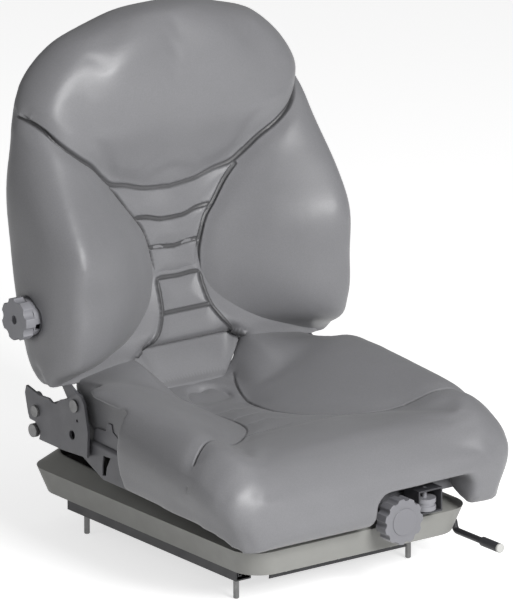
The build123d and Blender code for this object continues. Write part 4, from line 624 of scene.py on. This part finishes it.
def press_seams(obj, seams, settings):
    """Sinks the grooves, raises their lips and stores the painted shade that each point gets in a seam."""
    points = read_points(obj.data)
    normals = read_normals(obj.data)
    sink = np.zeros(len(points))
    drawn = np.zeros(len(points))
    dark = np.zeros(len(points))
    for seam in seams:
        distance, share, side = seam.measure(points, SEAM_REACH)
        inside = 1 - ease(seam.floor, seam.floor + seam.ramp, distance)
        sink = np.maximum(sink, seam.depth * share * inside)
        drawn = np.maximum(drawn, settings.pull / MM * seam.pull * share * np.exp(-(distance / PULL_REACH) ** 2))
        # Painted shade: points on a groove's floor and ramp are darkened.
        dark = np.maximum(dark, seam.dark * np.clip(share, 0, 1) * inside)
        if seam.lip:
            crest = (distance - seam.floor - seam.ramp - LIP_OFFSET) / LIP_WIDTH
            rise = seam.lip * np.clip(share, 0, 1) * np.exp(-crest ** 2)
            sink -= rise * ease(0, 1.5, side)
    write_points(obj.data, points - normals * (sink + drawn)[:, None])
    layer = obj.data.attributes.new("painted_seam_shade", "FLOAT", "POINT")
    layer.data.foreach_set("value", dark)


def swell(obj, held, settings):
    """Swells the padding under its cover with a cloth simulation; held points, with weight 1, stay."""
    group = obj.vertex_groups.new(name="held")
    for i, weight in enumerate(held):
        group.add([i], float(weight), "REPLACE")
    before = read_points(obj.data)
    cloth = obj.modifiers.new("Cloth", "CLOTH")
    cloth.settings.quality = 4
    cloth.settings.mass = 0.4
    cloth.settings.tension_stiffness = 25
    cloth.settings.compression_stiffness = 25
    cloth.settings.shear_stiffness = 15
    cloth.settings.bending_stiffness = 4
    cloth.settings.use_pressure = True
    cloth.settings.uniform_pressure_force = settings.pressure
    cloth.settings.vertex_group_mass = "held"
    cloth.settings.effector_weights.gravity = 0
    cloth.collision_settings.use_collision = False
    cloth.point_cache.frame_start = 1
    cloth.point_cache.frame_end = SWELL_FRAMES
    scene = bpy.context.scene
    for index in range(1, SWELL_FRAMES + 1):
        scene.frame_set(index)
    mesh = evaluated_copy(obj)
    move = read_points(mesh) - before
    bpy.data.meshes.remove(mesh)
    obj.modifiers.clear()
    obj.vertex_groups.clear()
    scene.frame_set(1)
    length = np.linalg.norm(move, axis=1).clip(1e-6)
    cap = settings.swell / MM
    move *= (cap * np.tanh(length / cap) / length)[:, None]
    write_points(obj.data, before + move * (1 - held)[:, None])


def held_weights(points, normals, seams, front, low):
    """How firmly each point is held: seams, sides, the inside and the underside stay where they are."""
    near = distance_to_seams(points, seams, SEAM_REACH)
    facing = normals @ np.array(front, float)
    return 1 - ease(3, 22, near) * ease(low, low + 0.35, facing)


def skin_tree(mesh, points):
    """A search tree of a mesh's faces with its points at given places."""
    return BVHTree.FromPolygons(points.tolist(), [p.vertices[:] for p in mesh.polygons])


def shape_cushion(node, slices, places, reshape, seams, ray, front):
    """One moulded cushion: an even skin, its swell and its seams."""
    settings = bpy.context.scene.seat_cushions
    obj = remeshed_copy(node, node + "_skin", settings.grid)
    points = fair_skin(read_points(obj.data), slices, places)
    points = reshape(points, skin_tree(obj.data, points))
    points = relax(obj.data, points, EDGE_ROUNDS, 0.5)
    points = relax(obj.data, points, HEAD_ROUNDS, 0.5 * ease(470, 530, points[:, 2]))
    write_points(obj.data, points)
    skin = skin_tree(obj.data, points)
    for seam in seams:
        seam.lay(skin, ray)
    held = held_weights(points, read_normals(obj.data), seams, front, 0.25)
    swell(obj, held, settings)
    write_points(obj.data, relax(obj.data, read_points(obj.data), 2, 0.4))
    refine(obj, seams, (13, 6.5))
    fresh = read_points(obj.data)
    near = distance_to_seams(fresh, seams, SMOOTH_REACH + 1)
    write_points(obj.data, relax(obj.data, fresh, 3, np.where(near < SMOOTH_REACH, 0.5, 0.0)))
    press_seams(obj, seams, settings)
    obj.data.polygons.foreach_set("use_smooth", [True] * len(obj.data.polygons))
    obj.data.update()
    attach(obj, NODES[node]["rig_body"])
    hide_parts(node)
    obj.data.materials.append(vinyl_skin())
    return obj


# Finishes

def new_material(name):
    """A material with its node tree, its shader and a coordinate node in metres."""
    mat = bpy.data.materials.new(name)
    mat.use_nodes = True
    tree = mat.node_tree
    shader = tree.nodes["Principled BSDF"]
    coords = tree.nodes.new("ShaderNodeTexCoord")
    return mat, tree, shader, coords.outputs["Object"]


def noise(tree, coords, scale, detail=3.0, rough=0.5):
    """A noise texture of so many waves a metre."""
    node = tree.nodes.new("ShaderNodeTexNoise")
    node.inputs["Scale"].default_value = scale
    node.inputs["Detail"].default_value = detail
    node.inputs["Roughness"].default_value = rough
    tree.links.new(coords, node.inputs["Vector"])
    return node.outputs["Fac"]


def remap(tree, value, low, high, to_low, to_high):
    """A value brought from one range to another and kept inside it."""
    node = tree.nodes.new("ShaderNodeMapRange")
    tree.links.new(value, node.inputs["Value"])
    for socket, number in zip(("From Min", "From Max", "To Min", "To Max"), (low, high, to_low, to_high)):
        node.inputs[socket].default_value = number
    return node.outputs["Result"]


def blend_colours(tree, factor, first, second):
    """A mix of two colours, each a plain colour or another node's output."""
    node = tree.nodes.new("ShaderNodeMix")
    node.data_type = "RGBA"
    if isinstance(factor, float):
        node.inputs[0].default_value = factor
    else:
        tree.links.new(factor, node.inputs[0])
    for socket, colour in ((node.inputs[6], first), (node.inputs[7], second)):
        if isinstance(colour, bpy.types.NodeSocket):
            tree.links.new(colour, socket)
        else:
            socket.default_value = (*colour, 1)
    return node.outputs[2]


def bump(tree, shader, height, strength, distance, under=None):
    """A bump on a shader's normal, over an earlier one if given."""
    node = tree.nodes.new("ShaderNodeBump")
    node.inputs["Strength"].default_value = strength
    node.inputs["Distance"].default_value = distance
    tree.links.new(height, node.inputs["Height"])
    if under is not None:
        tree.links.new(under, node.inputs["Normal"])
    tree.links.new(node.outputs["Normal"], shader.inputs["Normal"])
    return node.outputs["Normal"]


def shade(colour, factor):
    """A colour made darker or paler."""
    return tuple(min(c * factor, 1) for c in colour)


def worn_edges(tree, base, pale, amount):
    """A colour that turns paler on sharp edges."""
    geometry = tree.nodes.new("ShaderNodeNewGeometry")
    mask = remap(tree, geometry.outputs["Pointiness"], 0.53, 0.62, 0, amount)
    return blend_colours(tree, mask, base, pale)


def vinyl_skin():
    """Grey moulded vinyl: fine grain, a soft sheen, painted shade in the seams and faint cloudiness."""
    if "vinyl_skin" in bpy.data.materials:
        return bpy.data.materials["vinyl_skin"]
    colour = bpy.context.scene.seat_finishes.vinyl
    mat, tree, shader, coords = new_material("vinyl_skin")
    cloud = blend_colours(tree, noise(tree, coords, 9, 4), shade(colour, 0.90), shade(colour, 1.10))
    dots = remap(tree, noise(tree, coords, 600, 2), 0.35, 0.7, 0, 0.35)
    speck = blend_colours(tree, dots, cloud, shade(colour, 0.75))
    # Painted shade in the seams: the stored shade mixes the vinyl towards near black.
    painted_seam_shade = tree.nodes.new("ShaderNodeAttribute")
    painted_seam_shade.attribute_name = "painted_seam_shade"
    depth = remap(tree, painted_seam_shade.outputs["Fac"], 0.1, 0.9, 0, 0.8)
    tree.links.new(blend_colours(tree, depth, speck, shade(colour, 0.18)), shader.inputs["Base Color"])
    tree.links.new(remap(tree, noise(tree, coords, 14, 4), 0.3, 0.7, 0.36, 0.48), shader.inputs["Roughness"])
    shader.inputs["Specular IOR Level"].default_value = 0.5
    shader.inputs["Sheen Weight"].default_value = 0.08
    shader.inputs["Sheen Roughness"].default_value = 0.5
    grain = tree.nodes.new("ShaderNodeTexVoronoi")
    grain.feature = "DISTANCE_TO_EDGE"
    grain.inputs["Scale"].default_value = 620
    tree.links.new(coords, grain.inputs["Vector"])
    leather = bump(tree, shader, remap(tree, grain.outputs["Distance"], 0, 0.25, 0, 1), 0.22, 0.0002)
    bump(tree, shader, noise(tree, coords, 45, 3), 0.10, 0.001, leather)
    return mat


def moulded_plastic(name, colour, grain, rough, pale=1.35):
    """Moulded plastic with a spark-eroded grain and slightly rubbed edges."""
    mat, tree, shader, coords = new_material(name)
    cloud = blend_colours(tree, noise(tree, coords, 22, 4), shade(colour, 0.92), shade(colour, 1.08))
    tree.links.new(worn_edges(tree, cloud, shade(colour, pale), 0.5), shader.inputs["Base Color"])
    dull = remap(tree, noise(tree, coords, 60, 3), 0.3, 0.7, rough - 0.06, rough + 0.06)
    tree.links.new(dull, shader.inputs["Roughness"])
    fine = bump(tree, shader, noise(tree, coords, grain, 4, 0.65), 0.16, 0.00025)
    bump(tree, shader, noise(tree, coords, 90, 2), 0.05, 0.0008, fine)
    return mat


def powder_coat(name, colour, rough):
    """Powder-coated steel: fine orange peel, dusty patches and bare-looking edges."""
    mat, tree, shader, coords = new_material(name)
    dust = remap(tree, noise(tree, coords, 30, 6, 0.6), 0.45, 0.75, 0, 0.35)
    base = blend_colours(tree, dust, colour, shade(colour, 1.5))
    tree.links.new(worn_edges(tree, base, shade(colour, 2.2), 0.45), shader.inputs["Base Color"])
    dull = remap(tree, noise(tree, coords, 40, 4), 0.3, 0.7, rough - 0.07, rough + 0.08)
    tree.links.new(dull, shader.inputs["Roughness"])
    bump(tree, shader, noise(tree, coords, 420, 2), 0.14, 0.0004)
    return mat


def plated_steel(name, colour, rough, metal):
    """Zinc-plated or bare drawn steel, with faint drawing lines and dull patches."""
    mat, tree, shader, coords = new_material(name)
    shader.inputs["Metallic"].default_value = metal
    spots = blend_colours(tree, noise(tree, coords, 70, 5), shade(colour, 0.8), shade(colour, 1.2))
    tree.links.new(spots, shader.inputs["Base Color"])
    dull = remap(tree, noise(tree, coords, 110, 5), 0.3, 0.7, rough - 0.1, rough + 0.12)
    tree.links.new(dull, shader.inputs["Roughness"])
    bump(tree, shader, noise(tree, coords, 900, 2), 0.08, 0.0002)
    return mat


def soft_rubber(name, colour):
    """Dull black rubber with a dusty bloom."""
    mat, tree, shader, coords = new_material(name)
    bloom = remap(tree, noise(tree, coords, 50, 5), 0.4, 0.8, 0, 0.3)
    tree.links.new(blend_colours(tree, bloom, colour, shade(colour, 3)), shader.inputs["Base Color"])
    shader.inputs["Roughness"].default_value = 0.8
    bump(tree, shader, noise(tree, coords, 500, 3), 0.2, 0.0003)
    return mat


def smooth_group():
    """A modifier's node group that shades every face smooth."""
    if "smooth_faces" in bpy.data.node_groups:
        return bpy.data.node_groups["smooth_faces"]
    tree = bpy.data.node_groups.new("smooth_faces", "GeometryNodeTree")
    tree.interface.new_socket("Geometry", in_out="INPUT", socket_type="NodeSocketGeometry")
    tree.interface.new_socket("Geometry", in_out="OUTPUT", socket_type="NodeSocketGeometry")
    start = tree.nodes.new("NodeGroupInput")
    step = tree.nodes.new("GeometryNodeSetShadeSmooth")
    end = tree.nodes.new("NodeGroupOutput")
    tree.links.new(start.outputs[0], step.inputs["Geometry"])
    tree.links.new(step.outputs["Geometry"], end.inputs[0])
    return tree


def soften(node, width, segments=2):
    """Rounds a CAD node's edges and evens its shading with modifiers."""
    obj = NODES[node]
    weld = obj.modifiers.new("Weld", "WELD")
    weld.merge_threshold = 0.00001
    flat = obj.modifiers.new("Flat faces", "DECIMATE")
    flat.decimate_type = "DISSOLVE"
    flat.angle_limit = math.radians(0.6)
    edge = obj.modifiers.new("Edge", "BEVEL")
    edge.width = width
    edge.segments = segments
    edge.limit_method = "ANGLE"
    edge.angle_limit = math.radians(35)
    smooth = obj.modifiers.new("Smooth", "NODES")
    smooth.node_group = smooth_group()
    even = obj.modifiers.new("Even shading", "WEIGHTED_NORMAL")
    even.weight = 90


def finish_nodes(mat, names, width):
    """Gives CAD nodes one finish and rounded edges."""
    for name in names:
        soften(name, width)
        NODES[name].material_slots[0].material = mat


def both(name):
    """The right and left node of a pair."""
    return [name + "_right", name + "_left"]


class SeatOperator(bpy.types.Operator):
    """Base of the seat's operators."""
    bl_options = {"REGISTER"}

    def execute(self, context):
        self.make(context.scene)
        return {"FINISHED"}


class SEAT_OT_back_cushion(SeatOperator):
    """Shapes the backrest's moulded cushion"""
    bl_idname = "seat.back_cushion"
    bl_label = "Back cushion"

    def make(self, scene):
        settings = scene.seat_cushions
        depth, floor = settings.groove_depth / MM, settings.groove_width / MM / 2
        # Each seam's dark share sets the painted shade in its groove.
        seams = [
            Seam(CHANNEL_EDGE, depth, floor, 1.4, lip=0.9, dark=1.0),
            Seam(HEAD_SEAM, depth * 0.9, floor * 0.9, 2.2, lip=0.7, lip_way=(0, 0, -1), pull=1.5),
            Seam(TONGUE_TOP, 2.2, 0.8, 1.4, pull=0.5, dark=0.8),
            # The tongue's tip has no groove, only a band of painted shade along its rolled end.
            Seam(TONGUE_TIP, 0, 3.0, 2.5, pull=0, dark=0.35),
        ]
        for line in CROSS_GROOVES:
            seams.append(Seam(line, depth * 0.75, 2.4, 1.4, lip=0.4, lip_way=(0, 0, -1), pull=0.9))
        slices = [back_slice(*row) for row in BACK_SLICES]
        places = [row[0] for row in BACK_SLICES]
        shape_cushion("back_cushion", slices, places, shape_back, seams, (0, -1, 0), (0, -1, 0.1))


class SEAT_OT_seat_cushion(SeatOperator):
    """Shapes the moulded seat cushion"""
    bl_idname = "seat.seat_cushion"
    bl_label = "Seat cushion"

    def make(self, scene):
        # Each seam's dark share sets the painted shade in its groove.
        seams = [
            Seam(SEAT_SEAM, 2.4, 0.9, 1.6, lip=1.5, pull=0.9, dark=0.8),
        ]
        for line in SEAT_LINES:
            seams.append(Seam(line, 1.6, 0.5, 1.4, pull=0.45, dark=0.8))
        slices = [seat_slice(*row) for row in SEAT_SLICES]
        places = [-row[0] for row in SEAT_SLICES]
        shape_cushion("seat_cushion", slices, places, shape_seat, seams, (0, 0, 1), (0, -0.35, 1))


class SEAT_OT_plastics(SeatOperator):
    """Finishes the covers, knobs, grip and other moulded parts"""
    bl_idname = "seat.plastics"
    bl_label = "Plastic parts"

    def make(self, scene):
        colours = scene.seat_finishes
        edge = colours.edge
        cover = moulded_plastic("cover_plastic_grained", colours.cover_plastic, 700, 0.52, 1.15)
        dark = moulded_plastic("dark_plastic_grained", colours.dark_plastic, 800, 0.55, 2.0)
        knob = moulded_plastic("knob_plastic_fine", colours.knob_plastic, 900, 0.45, 1.2)
        cap = moulded_plastic("cap_plastic_fine", colours.cap_plastic, 900, 0.40, 1.1)
        finish_nodes(cover, ["suspension_cover"], edge * 2)
        finish_nodes(dark, ["back_shell", "lumbar_plate", "indicator_housing", "lever_grip"], edge)
        finish_nodes(dark, ["rail_glides", "pivot_bushes"], edge * 0.4)
        lilac = moulded_plastic("knob_plastic_lilac", shade(colours.knob_plastic, 0.78), 900, 0.42, 1.25)
        finish_nodes(lilac, ["weight_knob"], edge)
        finish_nodes(knob, ["lumbar_knob", "lumbar_bezel"], edge)
        finish_nodes(knob, ["indicator_drum"], edge * 0.6)
        finish_nodes(cap, ["lever_cap"], edge * 0.6)


class SEAT_OT_painted_steel(SeatOperator):
    """Finishes the painted frame, brackets, rails and linkage"""
    bl_idname = "seat.painted_steel"
    bl_label = "Painted steel"

    def make(self, scene):
        colours = scene.seat_finishes
        edge = colours.sheet_edge
        grey = powder_coat("frame_paint_coat", colours.frame_paint, 0.45)
        black = powder_coat("black_paint_coat", colours.black_paint, 0.42)
        finish_nodes(grey, both("pivot_arm") + both("side_bracket") + both("back_arm"), edge)
        finish_nodes(grey, [
            "seat_pan", "adjuster_bearing", "preload_wedge", "spring_bar", "damper_upper_lugs", "cushion_hooks",
            "back_pan", "lumbar_brackets",
        ], edge)
        finish_nodes(black, both("lower_rail") + both("upper_rail") + both("pivot_lug"), edge)
        finish_nodes(black, [
            "latch_rack", "base_plate", "front_crossbar", "rear_crossbar", "spring_base_seats", "buffer_towers",
            "damper_lower_lugs", "lever_bracket", "lever_rod", "latch_blade", "damper_tube",
        ], edge)


class SEAT_OT_bare_steel(SeatOperator):
    """Finishes pins, bolts, studs, springs and the rubber buffers"""
    bl_idname = "seat.bare_steel"
    bl_label = "Bare steel and rubber"

    def make(self, scene):
        colours = scene.seat_finishes
        zinc = plated_steel("zinc_plate", shade(colours.zinc_steel, 0.5), 0.42, 0.8)
        spring = plated_steel("spring_wire", colours.spring_steel, 0.42, 0.7)
        finish_nodes(zinc, [
            "mounting_studs", "crossbar_rivets", "pivot_axle", "axle_clip", "recline_pins", "lock_bolts",
            "stop_rollers", "adjuster_screw", "damper_rod", "lumbar_shaft", "spring_bar_guides",
        ], colours.sheet_edge)
        for name in both("spring"):
            coil = bpy.data.objects.new(name + "_coil", NODES[name].data.copy())
            scene.collection.objects.link(coil)
            coil.data.materials.clear()
            coil.data.materials.append(spring)
            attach(coil, NODES[name]["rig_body"])
            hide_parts(name)
            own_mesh(coil)
        finish_nodes(soft_rubber("buffer_rubber", colours.rubber), ["buffer_rubbers"], colours.edge)


# Stage

def lamp(name, place, target, size, power, scene):
    """A square soft lamp that points at a target."""
    data = bpy.data.lights.new(name, "AREA")
    data.shape = "SQUARE"
    data.size = size
    data.energy = power
    obj = bpy.data.objects.new(name, data)
    obj.location = place
    obj.rotation_euler = (Vector(target) - Vector(place)).to_track_quat("-Z", "Y").to_euler()
    scene.collection.objects.link(obj)


def around(target, azimuth, elevation, distance):
    """A place at an angle and distance from a target; angle 0 is in front of the seat."""
    flat = math.cos(elevation) * distance
    return (
        target[0] + flat * math.sin(azimuth), target[1] - flat * math.cos(azimuth),
        target[2] + math.sin(elevation) * distance,
    )


def floor_material(colour):
    """Pale floor that shows white to the camera and keeps the seat's shadow."""
    mat, tree, shader, _ = new_material("pale_floor")
    shader.inputs["Base Color"].default_value = (*colour, 1)
    shader.inputs["Roughness"].default_value = 0.9
    shader.inputs["Specular IOR Level"].default_value = 0.1
    path = tree.nodes.new("ShaderNodeLightPath")
    seen = tree.nodes.new("ShaderNodeMath")
    seen.operation = "MAXIMUM"
    tree.links.new(path.outputs["Is Camera Ray"], seen.inputs[0])
    tree.links.new(path.outputs["Is Glossy Ray"], seen.inputs[1])
    glow = tree.nodes.new("ShaderNodeEmission")
    glow.inputs["Color"].default_value = (1, 1, 1, 1)
    level = tree.nodes.new("ShaderNodeMath")
    level.operation = "MULTIPLY"
    level.inputs[1].default_value = FLOOR_GLOW
    tree.links.new(seen.outputs[0], level.inputs[0])
    tree.links.new(level.outputs[0], glow.inputs["Strength"])
    both_parts = tree.nodes.new("ShaderNodeAddShader")
    tree.links.new(shader.outputs[0], both_parts.inputs[0])
    tree.links.new(glow.outputs[0], both_parts.inputs[1])
    tree.links.new(both_parts.outputs[0], tree.nodes["Material Output"].inputs["Surface"])
    return mat


def pale_world(scene):
    """A world that lights softly and shows white behind the floor."""
    world = bpy.data.worlds.new("studio")
    world.use_nodes = True
    tree = world.node_tree
    path = tree.nodes.new("ShaderNodeLightPath")
    background = tree.nodes["Background"]
    background.inputs["Color"].default_value = (1, 1, 1, 1)
    background.inputs["Strength"].default_value = WORLD_LIGHT
    white = tree.nodes.new("ShaderNodeBackground")
    white.inputs["Color"].default_value = (1, 1, 1, 1)
    white.inputs["Strength"].default_value = 1.0
    mix = tree.nodes.new("ShaderNodeMixShader")
    tree.links.new(path.outputs["Is Camera Ray"], mix.inputs[0])
    tree.links.new(background.outputs[0], mix.inputs[1])
    tree.links.new(white.outputs[0], mix.inputs[2])
    tree.links.new(mix.outputs[0], tree.nodes["World Output"].inputs["Surface"])
    scene.world = world


class SEAT_OT_stage(SeatOperator):
    """Sets the floor, the lamps and the camera"""
    bl_idname = "seat.stage"
    bl_label = "Stage"

    def make(self, scene):
        stage = scene.seat_stage
        bm = bmesh.new()
        bmesh.ops.create_circle(bm, cap_ends=True, segments=96, radius=9)
        mesh = bpy.data.meshes.new("floor")
        bm.to_mesh(mesh)
        bm.free()
        floor = bpy.data.objects.new("floor", mesh)
        floor.location = (0, 0, CAD_BOX[0][2] - FLOOR_GAP)
        scene.collection.objects.link(floor)
        mesh.materials.append(floor_material(stage.floor))
        pale_world(scene)
        powers = (stage.key_power, stage.fill_power, stage.top_power)
        for (name, azimuth, elevation, distance, size), power in zip(LAMPS, powers):
            place = around(MIDDLE, math.radians(azimuth), math.radians(elevation), distance)
            lamp(name, place, MIDDLE, size, power, scene)
        camera = bpy.data.cameras.new("camera")
        camera.type = "PERSP"
        camera.sensor_width = 36
        camera.lens = stage.lens
        camera.clip_end = 40
        obj = bpy.data.objects.new("camera", camera)
        obj.location = around(MIDDLE, stage.azimuth, stage.elevation, stage.distance)
        obj.rotation_euler = (Vector(MIDDLE) - Vector(obj.location)).to_track_quat("-Z", "Y").to_euler()
        scene.collection.objects.link(obj)
        scene.camera = obj
        scene.view_settings.view_transform = "Standard"


OPERATORS = [
    SEAT_OT_back_cushion, SEAT_OT_seat_cushion, SEAT_OT_plastics, SEAT_OT_painted_steel, SEAT_OT_bare_steel,
    SEAT_OT_stage,
]


class SEAT_PT_pieces(bpy.types.Panel):
    """Lists the seat's pieces and its stage"""
    bl_idname = "SEAT_PT_pieces"
    bl_label = "Suspension seat"
    bl_space_type = "VIEW_3D"
    bl_region_type = "UI"
    bl_category = "Seat"

    def draw(self, context):
        for operator in OPERATORS:
            self.layout.operator(operator.bl_idname)
        for group in (context.scene.seat_cushions, context.scene.seat_finishes, context.scene.seat_stage):
            box = self.layout.box()
            for name in group.__annotations__:
                box.prop(group, name)


CLASSES = [SeatCushionSettings, SeatFinishSettings, SeatStageSettings, *OPERATORS, SEAT_PT_pieces]


def register():
    """Registers the classes and the scene's settings."""
    for item in CLASSES:
        bpy.utils.register_class(item)
    bpy.types.Scene.seat_cushions = bpy.props.PointerProperty(type=SeatCushionSettings)
    bpy.types.Scene.seat_finishes = bpy.props.PointerProperty(type=SeatFinishSettings)
    bpy.types.Scene.seat_stage = bpy.props.PointerProperty(type=SeatStageSettings)


def unregister():
    """Takes the settings and the classes away again."""
    del bpy.types.Scene.seat_stage
    del bpy.types.Scene.seat_finishes
    del bpy.types.Scene.seat_cushions
    for item in reversed(CLASSES):
        bpy.utils.unregister_class(item)


def main():
    """Makes every piece and the stage."""
    register()
    for operator in OPERATORS:
        group, name = operator.bl_idname.split(".")
        getattr(getattr(bpy.ops, group), name)()


if __name__ == "__main__":
    main()
